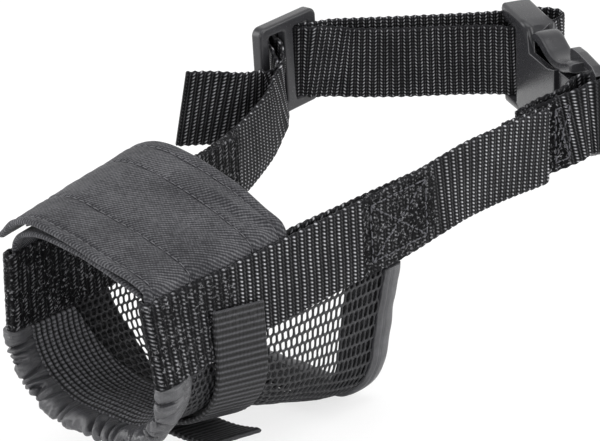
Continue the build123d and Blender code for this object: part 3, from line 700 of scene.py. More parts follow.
right_pts = side_run(-1, 98.0) + [
    (-31.1, 78, 11.6), (-33.2, 87, 10.4), (-37.4, 97.5, 8.6), (-46.3, 120, 6.4), (-54.9, 141, 6.8), (-58.4, 148.8, 9.0),
    (-60.4, 153.2, 11.4), (-62.6, 156.6, 14.0), (-66.2, 159.6, 16.6), (-68.5, 161.2, 17.5), (-68.8, 163.2, 17.8)]
far_strap = ribbon("far_side_strap", right_pts, None, MAT["web"], wobble=0.12, seed=7,
                   sewn=((-2, 112, 0.6), (112, 140, 0.45), (172, 212, 0.85)))
done(far_strap, None, "webbing", "right_side_webbing", blend=("muzzle", "slider", (-45, 116, 8), (-60, 150, 10)), sag=True)

back_pts = [(-68.8, 163.2, 17.8), (-68.5, 166.0, 18.0), (-66.0, 168.4, 18.0), (-62.8, 171.4, 17.6), (-61.3, 175.5, 16.6), (-59.2, 179.8, 15.6),
            back(56, -1.2, 14.6), back(40, -1.2, 13.9), back(20, -1.3, 13.8), back(9, -2.3, 13.8), loc(2.6, -4.6, 13.8),
            loc(3.9, 0, 14.0), loc(5.0, 5.0, 14.4), loc(6.2, 10.0, 15.0), loc(4.6, 13.6, 15.6), loc(1.0, 14.2, 16.0),
            loc(-2.2, 10.5, 16.4), loc(-3.8, 5.0, 16.6), loc(-4.2, 0, 16.8), back(9, 2.4, 17.0), back(20, 1.4, 17.2), back(40, 1.25, 17.2),
            back(55, 1.25, 17.3), (-60.9, 181.6, 17.6), (-63.1, 176.4, 18.0), (-64.6, 172.6, 18.4), (-67.6, 169.4, 18.6), (-70.2, 166.4, 18.6),
            (-70.6, 163.2, 18.4)]
back_ob = ribbon("back_strap_layers", back_pts, None, MAT["web"], wobble=0.08, seed=8, pitch=1.95, herr=1.0)
done(back_ob, None, "webbing", "back_strap", "strap_threading", blend=("slider", "muzzle", (-62, 178, 15), (-48, 191, 15)))

tail_pts = [(-70.6, 163.2, 18.4), (-70.0, 159.8, 17.6), (-67.0, 156.8, 15.4), (-63.7, 154.4, 12.8), (-62.6, 151.0, 10.8), (-62.9, 147, 10.2),
            (-65.2, 138, 11.5), (-68.9, 128, 14.4), (-71.2, 117, 17.4)]
tail_ob = ribbon("strap_tail_weave", tail_pts, None, MAT["web"], seed=9)
done(tail_ob, None, "webbing", "strap_tail", blend=("slider", "tail", (-63.2, 153, 12), (-64.6, 143, 12)))


# ------------------------------------------------------------------ net
def build_net():
    NJ, PY = 40, 2.32
    y0, y1 = 4.0, 96.4
    NI = int((y1 - y0) / PY)
    a = 0.40
    keys, verts, faces = {}, [], []

    def vid(key, gy, gz, h, share=True):
        if share and key in keys:
            return keys[key]
        verts.append((gy, gz, h))
        if share:
            keys[key] = len(verts) - 1
        return len(verts) - 1
    edge_use = {}
    hexv = [(0.5, -a), (0.5, a), (0, 1 - a), (-0.5, a), (-0.5, -a), (0, a - 1)]
    ring = []
    for k in range(6):
        p, q = hexv[k], hexv[(k + 1) % 6]
        ring += [p, ((p[0] + q[0]) / 2, (p[1] + q[1]) / 2)]
    for j in range(NJ):
        for i in range(NI):
            cy, cz = i + 0.5 + 0.5 * (j % 2), j + 0.5
            rows = []
            for (dy, dz) in ring:
                ky, kz = round((cy + dy) * 8), round((cz + dz) * 40)
                ang = math.atan2(dz, dy)
                ax, az = 0.5 - 0.120, 0.5 - 0.098
                e = 2.8
                rr = (abs(math.cos(ang) / ax) ** e + abs(math.sin(ang) / az) ** e) ** (-1 / e)
                hy, hz = rr * math.cos(ang), rr * math.sin(ang)
                if math.hypot(hy, hz) > 0.92 * math.hypot(dy, dz):
                    f = 0.92 * math.hypot(dy, dz) / math.hypot(hy, hz)
                    hy, hz = hy * f, hz * f
                my, mz = (hy * 0.62 + dy * 0.38), (hz * 0.62 + dz * 0.38)
                o_t = vid(("t", ky, kz), cy + dy, cz + dz, 0.36)
                o_b = vid(("b", ky, kz), cy + dy, cz + dz, -0.36)
                m_t = vid(None, cy + my, cz + mz, 0.30, False)
                rim = vid(None, cy + hy, cz + hz, 0.0, False)
                m_b = vid(None, cy + my, cz + mz, -0.30, False)
                rows.append((o_t, m_t, rim, m_b, o_b))
            for k in range(12):
                p, q = rows[k], rows[(k + 1) % 12]
                for c in range(4):
                    faces.append((p[c], q[c], q[c + 1], p[c + 1]))
                key = (min(p[0], q[0]), max(p[0], q[0]))
                edge_use.setdefault(key, []).append((p[0], q[0], p[4], q[4]))
    for use in edge_use.values():
        if len(use) == 1:
            p, q, pb, qb = use[0]
            faces.append((q, p, pb, qb))
    V = np.array(verts)
    y = np.clip(y0 + V[:, 0] * PY, y0, y1)
    g = np.clip(V[:, 1] / NJ, 0, 1)
    out = np.zeros((len(V), 3))
    yy = np.round(y, 3)
    for val in np.unique(yy):
        m = yy == val
        x, z, nx, nz, s = u_point(g[m], val, 0.0, 8.0)
        hh = V[m, 2]
        out[m] = np.stack([x + nx * hh, np.full_like(x, val), z + nz * hh], 1)
    jit = np.array([noise.noise_vector(Vector((p[0] * 0.9, p[1] * 0.9, p[2] * 0.9))) for p in out])
    out += jit * 0.10
    ob = new_object("net_panel", out, faces, MAT["net"])
    return ob


net = build_net()
done(net, "muzzle", "net", "mesh_panel", sag=True)

# ------------------------------------------------------------------ bindings and lining
PITCH_G = 11.0


def ring_section(y0, y1, half, m=40, power=2.6):
    """Flattened oval section in (y, offset), closed, starting at the front."""
    t = np.linspace(0, 2 * pi, m, endpoint=False) + pi
    c, s = np.cos(t), np.sin(t)
    yy = (y0 + y1) / 2 + (y1 - y0) / 2 * np.sign(c) * np.abs(c) ** (2 / power)
    oo = half * np.sign(s) * np.abs(s) ** (2 / power)
    return yy, -oo


def gather(g, total, seed, pitch):
    r = np.random.default_rng(seed)
    n = int(total / pitch)
    pos = (np.arange(n) + 0.5 + r.uniform(-0.28, 0.28, n)) / n
    amp = r.uniform(0.6, 1.25, n)
    wid = r.uniform(0.75, 1.2, n)
    slant = r.uniform(-0.9, 0.9, n)
    return pos, amp, wid, slant


cy, co = ring_section(-0.2, 13.2, 2.05, 56, 2.3)
co = co * np.interp(cy, [0, 4, 8, 9.6, 13.4], [1.25, 1.45, 1.05, 0.72, 0.62]) + np.interp(cy, [0, 6, 10], [0.5, 0.4, 0.0])
GT = u_total(6, 0, -0.8)
GN = 460
gph = GT * np.linspace(0, 1, GN) / 4.7 + 0.55 * smooth_noise((GN, 2), (26, 1), 21)[:, 0]
gph2 = GT * np.linspace(0, 1, GN) / 1.9 + 0.8 * smooth_noise((GN, 2), (60, 1), 22)[:, 0]
gamp = 0.75 + 0.45 * smooth_noise((GN, 2), (30, 1), 23)[:, 0]
gsl = 0.16 * smooth_noise((GN, 2), (18, 1), 24)[:, 0]
gft = smooth_noise((GN, len(cy)), (90, 9), 25)


def cuff_bump(g, k):
    """Elastic gathers: round lobes with sharp valleys at the front, small pleats behind the seam."""
    y, o = cy[k], co[k]
    front = float(np.clip(1 - (y - 3.0) / 7.0, 0.12, 1))
    lobe = np.abs(np.sin(pi * (gph + gsl * (y - 5)))) ** 0.55
    pleat = np.abs(np.sin(pi * (gph2 - gsl * (y - 9)))) ** 0.7
    sgn = 1.0 if o > 0.4 else -1.0
    side = 0.35 if abs(o - 0.4) < 0.5 else 1.0
    do = sgn * side * ((lobe - 0.72) * 2.1 * gamp * front + (pleat - 0.6) * 0.34 * (1.15 - front) + 0.16 * gft[:, k])
    do = do - sgn * 0.5 * math.exp(-((y - 9.2) / 0.5) ** 2)
    dy = -(lobe - 0.75) * 1.6 * gamp * (1.0 if y < 3.0 else 0.35 * front) - 0.25 * gft[:, k] * (y < 3)
    return dy, do


def cuff_line(g, k):
    return np.full_like(g, math.exp(-((cy[k] - 9.2) / 0.5) ** 2))


cuff = sweep_u("front_cuff_roll", cy, co, 0.2, MAT["taffeta"], n=GN, bump=cuff_bump, attrs={"ws": cuff_line})
done(cuff, "muzzle", "binding", "front_cuff", sag=True)

ry, ro = ring_section(93.2, 100.2, 1.9, 36)
RT = u_total(96, 0, -1.4)


def rear_bump(g, k):
    y, o = ry[k], ro[k]
    w = 0.12 * np.sin(g * RT / 3.1 + 0.6 * np.sin(g * 17)) + 0.10 * np.sin(g * RT / 1.35 + 2 * np.sin(g * 9))
    groove = math.exp(-((y - 95.1) / 0.4) ** 2) * 0.35
    sgn = 1.0 if o > 0 else -1.0
    return 0.15 * np.sin(g * RT / 2.3) * (y > 98), sgn * (w - groove)


def rear_line(g, k):
    return np.full_like(g, math.exp(-((ry[k] - 95.1) / 0.4) ** 2))


def sweep_flat(name, ys, offs, top, mat, yref, **kw):
    """As sweep_u, on the section at yref, so that the band doesn't taper."""
    global bottom_z, side_x, corner_r
    saved = bottom_z, side_x, corner_r
    zb, sx, cr = bottom_z(yref), side_x(yref), corner_r(yref)
    bottom_z, side_x, corner_r = (lambda y: zb), (lambda y: sx), (lambda y: cr)
    ob = sweep_u(name, ys, offs, top, mat, **kw)
    bottom_z, side_x, corner_r = saved
    return ob


rear = sweep_flat("rear_binding_tape", ry, ro, -1.4, MAT["taffeta"], 95.0, n=360, bump=rear_bump, attrs={"ws": rear_line})
done(rear, "muzzle", "binding", "rear_binding", sag=True)


def u_surface(y, off, top, n):
    g = np.linspace(0, 1, n)
    x, z, nx, nz, s = u_point(g, y, off, top)
    return np.stack([x, np.full_like(x, y), z], 1)


def lined(name, y_of, off, top, half, mat, n, m, rib, seed):
    """A band lying against the net; y_of gives the front and rear edge for each girth share."""
    g = np.linspace(0, 1, n)
    ya, yb = y_of(g)
    t = np.linspace(0, 1, m)
    P = np.zeros((n, m, 3))
    for j, tt in enumerate(t):
        yv = ya + (yb - ya) * tt
        for i in range(n):
            x, z, nx, nz, q = u_point(np.array([g[i]]), float(yv[i]), off, top)
            P[i, j] = (x[0], yv[i], z[0])
    Y = P[..., 1]
    d = rib * np.abs(np.sin(pi * Y / 1.9)) + 0.12 * smooth_noise((n, m), (n // 3, m // 3), seed)
    ob, _ = shell(name, P, half, mat, d, d, {"wy": Y})
    return ob


lining = lined("chin_lining_knit", lambda g: (np.full_like(g, 7.0), 22.0 + 9.5 * np.sin(pi * g) ** 0.8), -1.95, 0.0, 0.75, MAT["knit"], 220, 90, 0.24, 31)
done(lining, "muzzle", "lining", "chin_lining", sag=True)

hem = lined("rear_hem_facing", lambda g: (79.0 - 2.5 * np.sin(g * 9) * 0.3, np.full_like(g, 95.0)), -1.5, 6.5, 0.35, MAT["facing"], 200, 40, 0.10, 33)
done(hem, "muzzle", "lining", sag=True)

# ------------------------------------------------------------------ nose band
FLAP_FRONT = [(side_x(1.6), 26.5), (19.0, 29.6), (8.0, 32.2), (-5.0, 35.0), (-16.0, 36.3), (-24.6, 34.0), (-30.0, 28.6)]
FLAP_REAR = [(side_x(53), 26.5), (21.0, 31.0), (9.0, 35.6), (-5.0, 39.4), (-17.0, 40.7), (-27.0, 37.8), (-33.4, 31.2)]


def flap_surface(off, a0, a1, y0, y1, na, ny, ends=None):
    f = catmull([(x, 0, z) for x, z in (ends or (FLAP_FRONT, FLAP_REAR))[0]], 24)[:, [0, 2]]
    r = catmull([(x, 0, z) for x, z in (ends or (FLAP_FRONT, FLAP_REAR))[1]], 24)[:, [0, 2]]
    idx = np.linspace(a0, a1, na) * (len(f) - 1)
    k = np.arange(len(f))
    out = []
    for y in np.linspace(y0, y1, ny):
        t = (y - 1.6) / 51.4
        c = f * (1 - t) + r * t
        T = unit(np.gradient(c, axis=0))
        N = np.stack([-T[:, 1], T[:, 0]], 1)
        N = np.where(N[:, 1:2] < 0, -N, N)
        c = c + N * off
        out.append(np.stack([np.interp(idx, k, c[:, 0]), np.full(na, y), np.interp(idx, k, c[:, 1])], 1))
    return np.stack(out, 1)


def band_lines(wy, y0):
    prof = np.zeros_like(wy)
    for y in (4.6, 17.5, 40.5, 50.6):
        prof += np.exp(-((wy - y) / 0.5) ** 2)
    return prof


NA, NY = 260, 180
TUCK = ([(side_x(1.6) - 0.9, 15.0), (side_x(1.6) - 0.8, 21.0), (side_x(1.6) - 0.9, 25.2), (24.0, 27.3)] + FLAP_FRONT[1:],
        [(side_x(53), 15.0), (side_x(53), 21.0), (side_x(53) - 0.1, 25.0), (26.6, 28.0)] + FLAP_REAR[1:])
OP = flap_surface(0, 0, 1, 1.6, 54.4, NA, NY, TUCK)
yy = OP[..., 1]
aa = np.linspace(0, 1, NA)[:, None] * np.ones((1, NY))
OP[..., 1] += 0.5 * smooth_noise((NA, NY), (7, 2), 41) * (0.4 + 0.6 * np.abs(yy - 27) / 26)
lift = np.clip((aa - 0.86) / 0.14, 0, 1) ** 1.5 * np.clip(1 - (yy - 1.6) / 22, 0, 1)
OP[..., 2] += 0.2 * lift
OP[..., 0] -= 0.6 * lift
OP[..., 2] += 0.45 * smooth_noise((NA, NY), (9, 5), 42) * np.sin(np.clip(aa * 1.3, 0, 1) * pi) ** 0.5
lines = band_lines(yy, 1.6)
puck = 0.10 * np.sin(aa * 95 / 1.3 * 1.0 + yy) * np.exp(-(np.minimum.reduce([np.abs(yy - l) for l in (4.6, 17.5, 40.5, 50.6)]) / 1.8) ** 2)
crease = 0.5 * np.exp(-((yy - (45.5 + 3 * (aa - 0.4))) / 1.4) ** 2) * np.clip(1 - np.abs(aa - 0.42) / 0.28, 0, 1)
hem = 0.28 * np.exp(-((yy - 2.6) / 1.3) ** 2)
ut = np.linspace(0, 1, NA)[:, None]
puff = sum(h * np.sin(pi * np.clip((yy - a) / (b - a), 0, 1)) ** 0.7 for a, b, h in ((4.6, 17.5, 0.40), (17.5, 40.5, 0.75), (40.5, 50.6, 0.40)))
puff = puff * (0.6 + 0.5 * smooth_noise((NA, NY), (6, 4), 47)) * np.sin(pi * np.clip(aa, 0.02, 0.98)) ** 0.5


def wrinkle(a0, y0, a1, y1, h, w):
    """A soft diagonal fold between two points of the flap (share across, mm along)."""
    ax, ay, bx, by = a0 * 95, y0, a1 * 95, y1
    L2 = (bx - ax) ** 2 + (by - ay) ** 2
    px, py = aa * 95 - ax, yy - ay
    t = (px * (bx - ax) + py * (by - ay)) / L2
    d = (px * (by - ay) - py * (bx - ax)) / math.sqrt(L2)
    return h * np.exp(-(d / w) ** 2) * np.clip(1 - np.abs(2 * t - 1), 0, 1) ** 0.6


folds = (wrinkle(0.62, 40, 0.22, 51, -0.75, 1.9) + wrinkle(0.60, 44, 0.26, 53, 0.65, 1.7) + wrinkle(0.50, 33, 0.22, 40, -0.40, 2.0)
         + wrinkle(0.90, 10, 0.60, 20, -0.30, 2.2) + wrinkle(0.45, 8, 0.20, 15, -0.30, 1.8))
dtop = -0.42 * lines + puck + hem + crease + puff + folds + 0.12 * smooth_noise((NA, NY), (30, 22), 43)
outer, ON = shell("nose_band_outer", OP, 0.85, MAT["twill"], dtop, 0.1 * smooth_noise((NA, NY), (20, 15), 44), {"ws": np.clip(lines, 0, 1)}, edge_mm=1.0)
if ON[NA // 2, NY // 2, 2] < 0:
    bpy.data.objects.remove(outer)
    outer, ON = shell("nose_band_outer", OP, 0.85, MAT["twill"], dtop, 0.1 * smooth_noise((NA, NY), (20, 15), 44), {"ws": np.clip(lines, 0, 1)}, flip=True, edge_mm=1.0)
done(outer, "nose_cover", "nose_fabric", "nose_outer_flap")
INNER = ([(21.8, 25.0), (14.5, 27.2), (6, 29.4), (-5, 31.7), (-15, 32.6), (-22.0, 31.0), (-26.0, 27.4), (-27.0, 23), (-27.0, 16)],
         [(23.5, 25.6), (15.5, 28.4), (7, 32.4), (-5, 35.9), (-16.5, 37.0), (-25, 34.2), (-28.9, 28.8), (-28.6, 23), (-28.4, 16)])
IP = flap_surface(0, 0, 1, 2.8, 51.6, 200, 130, INNER)
iy = IP[..., 1]
IP[..., 2] += 0.25 * smooth_noise((200, 130), (7, 4), 45)
il = np.exp(-((iy - 5.6) / 0.5) ** 2) + np.exp(-((iy - 48.8) / 0.5) ** 2)
inner, IN = shell("nose_band_inner", IP, 0.85, MAT["twill"], -0.25 * il + 0.1 * smooth_noise((200, 130), (24, 16), 46), 0.0 * il, {"ws": np.clip(il, 0, 1)}, flip=ON is not None and False)
done(inner, "muzzle", "nose_fabric", "nose_inner_flap")


def on_flap(y, off, a0=0.17, a1=0.985, n=140):
    idx = np.linspace(a0, a1, n) * (NA - 1)
    j = int(round((y - 1.6) / 52.8 * (NY - 1)))
    S = np.stack([np.interp(idx, np.arange(NA), OP[:, j, k]) for k in range(3)], 1)
    Nn = np.stack([np.interp(idx, np.arange(NA), ON[:, j, k]) for k in range(3)], 1)
    return S + Nn * off, Nn


segs = []
for y in (4.6, 17.5, 40.5, 50.6):
    S, Nn = on_flap(y, 0.62)
    segs += stitch_line(S, Nn, 2.7, 2.1)
nose_thread = threads("nose_band_stitching", segs, MAT["thread"], r=0.17, lift=0.10)
done(nose_thread, "nose_cover", "thread")

for nm, off, a0, a1, y0, y1, body, node, mat in (
        ("nose_hook_tape", -1.3, 0.5, 0.83, 6.6, 47.0, "nose_cover", "nose_hook_patch", "hook"),
        ("nose_loop_tape", -2.25, 0.42, 0.83, 5.6, 48.0, "muzzle", "nose_loop_patch", "loop")):
    PP = flap_surface(off, a0, a1, y0, y1, 120, 160)
    fz = 0.12 * smooth_noise((120, 160), (100, 140), 51)
    ob, _ = shell(nm, PP, 0.28, MAT[mat], fz, fz, edge_mm=0.3)
    done(ob, body, "hook_loop", node)

# ------------------------------------------------------------------ chin straps
CY0, CY1 = 21.2, 40.4


def chin_low(y):
    t = (y - CY0) / (CY1 - CY0)
    return bottom_z(CY0) * (1 - t) + bottom_z(CY1) * t


def chin_curve(y, x_end, low):
    w = side_x(y) + 3.3
    zb = chin_low(y) - 0.5 - 0.7 - 0.8 - low
    r = 24.0
    ztop = 15.0 - 4.0 * (y - CY0) / (CY1 - CY0)
    pts = [(w, ztop), (w, 8.0), (w, 3.0), (w, -1.0)]
    cx, cz = w - r, zb + r
    if cz < -2.5:
        pts.append((w, (cz - 1.0) / 2))
    pts += [(cx + r * math.cos(-k * pi / 20), cz + r * math.sin(-k * pi / 20)) for k in range(0, 11)]
    pts += [((cx + x_end) / 2, zb), (x_end, zb)]
    p = np.array([(x, y, z) for x, z in pts])
    d = np.r_[0, np.cumsum(np.linalg.norm(np.diff(p, axis=0), axis=1))]
    return p, d


def chin_mesh(name, sign, x_end, low, seed):
    ys = np.linspace(CY0, CY1, 49)
    cols = []
    L = chin_curve(28, x_end, low)[1][-1]
    n = int(L / 0.30)
    for y in ys:
        p, d = chin_curve(y, x_end, low)
        s = np.linspace(0, d[-1], n)
        cols.append(np.stack([sign * np.interp(s, d, p[:, 0]), np.interp(s, d, p[:, 1]), np.interp(s, d, p[:, 2])], 1))
    P = np.stack(cols, 1)
    if sign < 0:
        # the far strap runs rearward on its way down
        a = np.clip((-P[..., 2] - 1) / 24, 0, 1)
        b = np.clip((-P[..., 0] - 8) / 16, 0, 1)
        k = a * a * (3 - 2 * a) * b * b * (3 - 2 * b) * (P[..., 1] - CY0) / (CY1 - CY0)
        y0 = P[..., 1].copy()
        P[..., 1] += 8.0 * k
        P[..., 2] += (bottom_z(P[..., 1]) - bottom_z(y0)) * np.clip(a, 0, 1)
        P[..., 0] -= 0.05 * 8.0 * k
    U = np.linspace(0, L, n)[:, None] * np.ones((1, 49))
    V = np.linspace(0, CY1 - CY0, 49)[None, :] * np.ones((n, 1))
    ribs = (weave_gros(U, V) + 0.05 * np.sin(V * 2 * pi / 0.8 + U)) * np.clip((U - 6.5) / 1.5, 0.0, 1)
    sewn = np.clip(1 - (U - 6.0) / 1.2, 0, 1)
    ribs = ribs + sewn * (0.14 * smooth_noise(U.shape, (n // 4, 22), seed) - 0.05)
    ob, N = shell(name, P, 0.72, MAT["gros"], ribs, ribs, flip=(sign > 0), edge_mm=0.6)
    return ob


done(chin_mesh("near_chin_strap", 1, -6.0, 0.0, 61), "muzzle", "grosgrain", "chin_strap_left")
TAB_DROP = 0.05 + 0.7 + 0.2 + 0.7 + 0.05
done(chin_mesh("far_chin_strap", -1, 7.5, 1.6 + TAB_DROP, 62), "muzzle", "grosgrain", "chin_strap_right")


def flat_chin(name, pts, y0, y1, drop, half, mat, ribs=True, fuzz=0.0, seed=70, ny=49, step=0.3):
    c = catmull([(x, 0, z) for x, z in pts], 10)
    c, _, s = resample(c, np.zeros((len(c), 1)), step)
    cols = [np.stack([c[:, 0], np.full(len(c), y), c[:, 2] + chin_low(y) - 0.5 - 0.7 - 1.6 - drop], 1) for y in np.linspace(y0, y1, ny)]
    P = np.stack(cols, 1)
    U = s[:, None] * np.ones((1, ny))
    V = np.linspace(0, y1 - y0, ny)[None, :] * np.ones((len(s), 1))
    d = weave_gros(U, V) if ribs else 0 * U
    d = d + fuzz * smooth_noise(U.shape, (len(s) // 2, ny // 2), seed)
    ob, N = shell(name, P, half, MAT[mat], d, d, edge_mm=0.6)
    return ob


tab = flat_chin("chin_tab_strip", [(-5.7, 0), (4.0, 0), (12.0, 0), (19.0, 0.4), (27.0, 2.2)], CY0, CY1, TAB_DROP + 0.8, 0.72, "gros", fuzz=0.06)
done(tab, "chin_flap", "grosgrain", "chin_tab")
lp = flat_chin("chin_loop_tape", [(-4.0, 0), (8.0, 0)], CY0 + 1.5, CY1 - 1.5, 0.05 + 0.35, 0.28, "loop", False, 0.1, 71)
done(lp, "muzzle", "hook_loop", "chin_loop_patch")
hk = flat_chin("chin_hook_tape", [(-3.0, 0), (9.0, 0)], CY0 + 1.5, CY1 - 1.5, 0.05 + 0.7 + 0.2 + 0.35, 0.28, "hook", False, 0.1, 72)
done(hk, "chin_flap", "hook_loop", "chin_hook_patch")


# ------------------------------------------------------------------ sewn squares
def box_segs(origin, du, dv, n, lx, lz):
    o, du, dv, n = (np.asarray(v, float) for v in (origin, du, dv, n))
    c = [(-lx / 2, -lz / 2), (lx / 2, -lz / 2), (lx / 2, lz / 2), (-lx / 2, lz / 2)]
    runs = [(c[0], c[1]), (c[1], c[2]), (c[2], c[3]), (c[3], c[0]), (c[0], c[2]), (c[1], c[3])]
    segs = []
    for i, (a, b) in enumerate(runs):
        A = o + du * a[0] + dv * a[1]
        B = o + du * b[0] + dv * b[1]
        L = np.linalg.norm(B - A)
        k = max(int(L / 2.3), 1)
        for q in range(k):
            j = rng.uniform(-0.12, 0.12, 3)
            segs.append((A + (B - A) * (q + 0.1) / k + j, A + (B - A) * (q + 0.86) / k + j, n))
    return segs


fd = unit(np.array((0.05, 1, 0)))
fn = np.array((fd[1], -fd[0], 0))
o = np.array((side_x(98) + OUT + 0.98, 98, 13.0))
done(threads("near_box_stitching", box_segs(o, fd, (0, 0, 1), fn, 24, 18), MAT["dthread"], r=0.24), "muzzle", "thread", "left_box_stitch")
fd2 = unit(np.array((-0.05, 1, 0)))
o2 = np.array((-(side_x(64) + OUT + 0.98), 64, 12.5))
done(threads("far_box_stitching", box_segs(o2, fd2, (0, 0, 1), (-fd2[1], fd2[0], 0), 22, 18), MAT["dthread"], r=0.24), "muzzle", "thread", "right_box_stitch")
e0, e1 = np.array((33.2, 176.0, 11.8)), np.array((35.6, 180.4, 12.8))
ld = unit(e1 - e0)
ln = unit(np.cross(ld, (0, 0, 1)))
done(threads("loop_box_stitching", box_segs(e0 * 0.5 + e1 * 0.5 + ln * 1.05, ld, (0, 0, 1), ln, 5.0, 18), MAT["dthread"], r=0.24), "plug", "thread", "loop_box_stitch")

# ------------------------------------------------------------------ plastic
def cad_points(node):
    me = node.data
    co = np.zeros(len(me.vertices) * 3, np.float32)
    me.vertices.foreach_get("co", co)
    co = co.reshape(-1, 3).astype(float)
    mw = np.array(node.matrix_world)
    return (co @ mw[:3, :3].T + mw[:3, 3]) / MM


def reshaped(name, node, fn, angle=38):
    """A separate piece with the part's own faces, its points moved by fn."""
    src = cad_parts[node]
    me = src.data.copy()
    me.name = name
    me.materials.clear()
    me.materials.append(MAT["plastic"])
    me.vertices.foreach_set("co", (fn(cad_points(src)) * MM).astype(np.float32).ravel())
    bm = bmesh.new()
    bm.from_mesh(me)
    bmesh.ops.remove_doubles(bm, verts=bm.verts, dist=2e-6)
    bmesh.ops.recalc_face_normals(bm, faces=bm.faces)
    bm.to_mesh(me)
    bm.free()
    me.polygons.foreach_set("use_smooth", np.ones(len(me.polygons), bool))
    me.set_sharp_from_angle(angle=math.radians(angle))
    ob = bpy.data.objects.new(name, me)
    bpy.context.scene.collection.objects.link(ob)
    return ob


def to_buckle(P):
    d = P[:, :2] - F_BAR
    return np.stack([d @ UB, d @ NB, P[:, 2] - Z_B], 1)


def from_buckle(Q):
    xy = F_BAR + Q[:, :1] * UB + Q[:, 1:2] * NB
    return np.column_stack([xy, Q[:, 2] + Z_B])


def ramp01(x, a, b):
    t = np.clip((x - a) / (b - a), 0, 1)
    return t * t * (3 - 2 * t)


def socket_shape(P):
    q = to_buckle(P)
    s, n, v = q[:, 0].copy(), q[:, 1].copy(), q[:, 2].copy()
    bar = (np.abs(v) < 13.2) & (np.hypot(s, n) < 2.3)
    side = np.where(s > 12, ramp01(np.abs(v), 6.5, 9.5), ramp01(np.abs(v), 13.5, 15.2)) * np.where(v > 0, 1.0, 0.3)
    shift = -3.0 * (1 - ramp01(s, 23, 36)) * side
    q[:, 0] = np.where(bar, s, s + shift)
    q[:, 1] = np.where(bar, n, n * 1.17)
    q[:, 2] = v + np.where(v > 0, 2.2, 0.4) * np.sign(v) * ramp01(np.abs(v), 14, 16) * (1 - 0.7 * ramp01(s, 3, 21)) * (1 - ramp01(s, 22, 30))
    return from_buckle(q)


def slab(name, line, n_mid, n_half, ridge=0.16):
    """A moulded arm: centre line (s, v, half thickness), rounded section, parting line along the outer face."""
    c = catmull([(a, b, h) for a, b, h in line], 8)
    T = np.gradient(c[:, :2], axis=0)
    T /= np.linalg.norm(T, axis=1)[:, None]
    Nn = np.column_stack([-T[:, 1], T[:, 0]])
    th = np.linspace(0, 2 * pi, 40, endpoint=False) + pi / 40
    cn = np.sign(np.cos(th)) * np.abs(np.cos(th)) ** 0.42
    ct = np.sign(np.sin(th)) * np.abs(np.sin(th)) ** 0.42
    rows = []
    for i in range(len(c)):
        k = min(i, len(c) - 1 - i)
        w = n_half * (1 - 0.10 * math.exp(-k / 1.5))
        nn = n_mid + w * cn
        tt = c[i, 2] * ct + ridge * np.exp(-((w * cn) / 0.28) ** 2) * (ct > 0)
        sv = c[i, :2] + tt[:, None] * Nn[i]
        rows.append(from_buckle(np.column_stack([sv[:, 0], nn, sv[:, 1]])))
    return np.array(rows)


ARM = [(20.6, 13.9, 0.7), (21.6, 14.3, 1.6), (24.0, 14.7, 2.1), (27.0, 14.1, 2.4), (30.5, 12.6, 2.3), (34, 11.3, 2.1), (38, 10.7, 2.0),
       (42, 11.0, 2.0), (45.3, 11.9, 2.0), (48, 12.9, 1.9), (50.4, 13.2, 1.6)]
for nm, node, body, sg in (("arm_visual_upper", "buckle_arm_upper", "arm_upper", 1), ("arm_visual_lower", "buckle_arm_lower", "arm_lower", -1)):
    R = slab(nm, ARM, -0.2, 4.1)
    if sg < 0:
        R[..., 2] = 2 * Z_B - R[..., 2]
        R = R[:, ::-1]
    ob = new_object(nm, R.reshape(-1, 3), loop_grid(R), MAT["plastic"])
    bm = bmesh.new()
    bm.from_mesh(ob.data)
    bmesh.ops.recalc_face_normals(bm, faces=bm.faces)
    bm.to_mesh(ob.data)
    bm.free()
    ob.data.set_sharp_from_angle(angle=math.radians(60))
    done(ob, body, "plastic", node)

socket = reshaped("socket_visual", "buckle_socket", socket_shape)
done(socket, "muzzle", "plastic", "buckle_socket")

plug_ob = reshaped("plug_visual", "buckle_plug", lambda P: P)
cut_verts, cut_faces = [], []
for sg in (1, -1):
    poly = [(38.0, 9.0), (64.0, 9.0), (64.0, 21.0), (38.0, 21.0)]
    base = len(cut_verts)
    for nn in (-7.0, 0.4):
        q = from_buckle(np.array([(a, nn, sg * b) for a, b in poly], float))
        cut_verts += q.tolist()
    m = len(poly)
    cut_faces += [tuple(base + i for i in range(m)), tuple(base + m + i for i in reversed(range(m)))]
    cut_faces += [(base + i, base + m + i, base + m + (i + 1) % m, base + (i + 1) % m) for i in range(m)]
cutter = new_object("plug_cutter", cut_verts, cut_faces, None, smooth=False)
bm = bmesh.new()
bm.from_mesh(cutter.data)
bmesh.ops.recalc_face_normals(bm, faces=bm.faces)
bm.to_mesh(cutter.data)
bm.free()
mod = plug_ob.modifiers.new("cut", "BOOLEAN")
mod.operation = "DIFFERENCE"
mod.solver = "EXACT"
mod.object = cutter
dg = bpy.context.evaluated_depsgraph_get()
cut_mesh = bpy.data.meshes.new_from_object(plug_ob.evaluated_get(dg))
plug_ob.modifiers.clear()
plug_ob.data = cut_mesh
cut_mesh.materials.clear()
cut_mesh.materials.append(MAT["plastic"])
bpy.data.objects.remove(cutter)
done(plug_ob, "plug", "plastic", "buckle_plug")


def slider_shape(P):
    lo, hi = P.min(0), P.max(0)
    c = (lo + hi) / 2
    bar = (np.abs(P[:, 1] - c[1]) < 3.4) & (np.abs(P[:, 2] - c[2]) < 13.3)
    k = 4.4 / (hi[0] - lo[0])
    Q = P.copy()
    Q[:, 0] = np.where(bar, P[:, 0], hi[0] + (P[:, 0] - hi[0]) * k)
    return Q


slider_ob = reshaped("slider_visual", "tri_glide_slider", slider_shape)
done(slider_ob, "slider", "plastic", "tri_glide_slider")

# ------------------------------------------------------------------ stage, light and camera
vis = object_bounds()
floor_z = vis[0].z - 0.0006


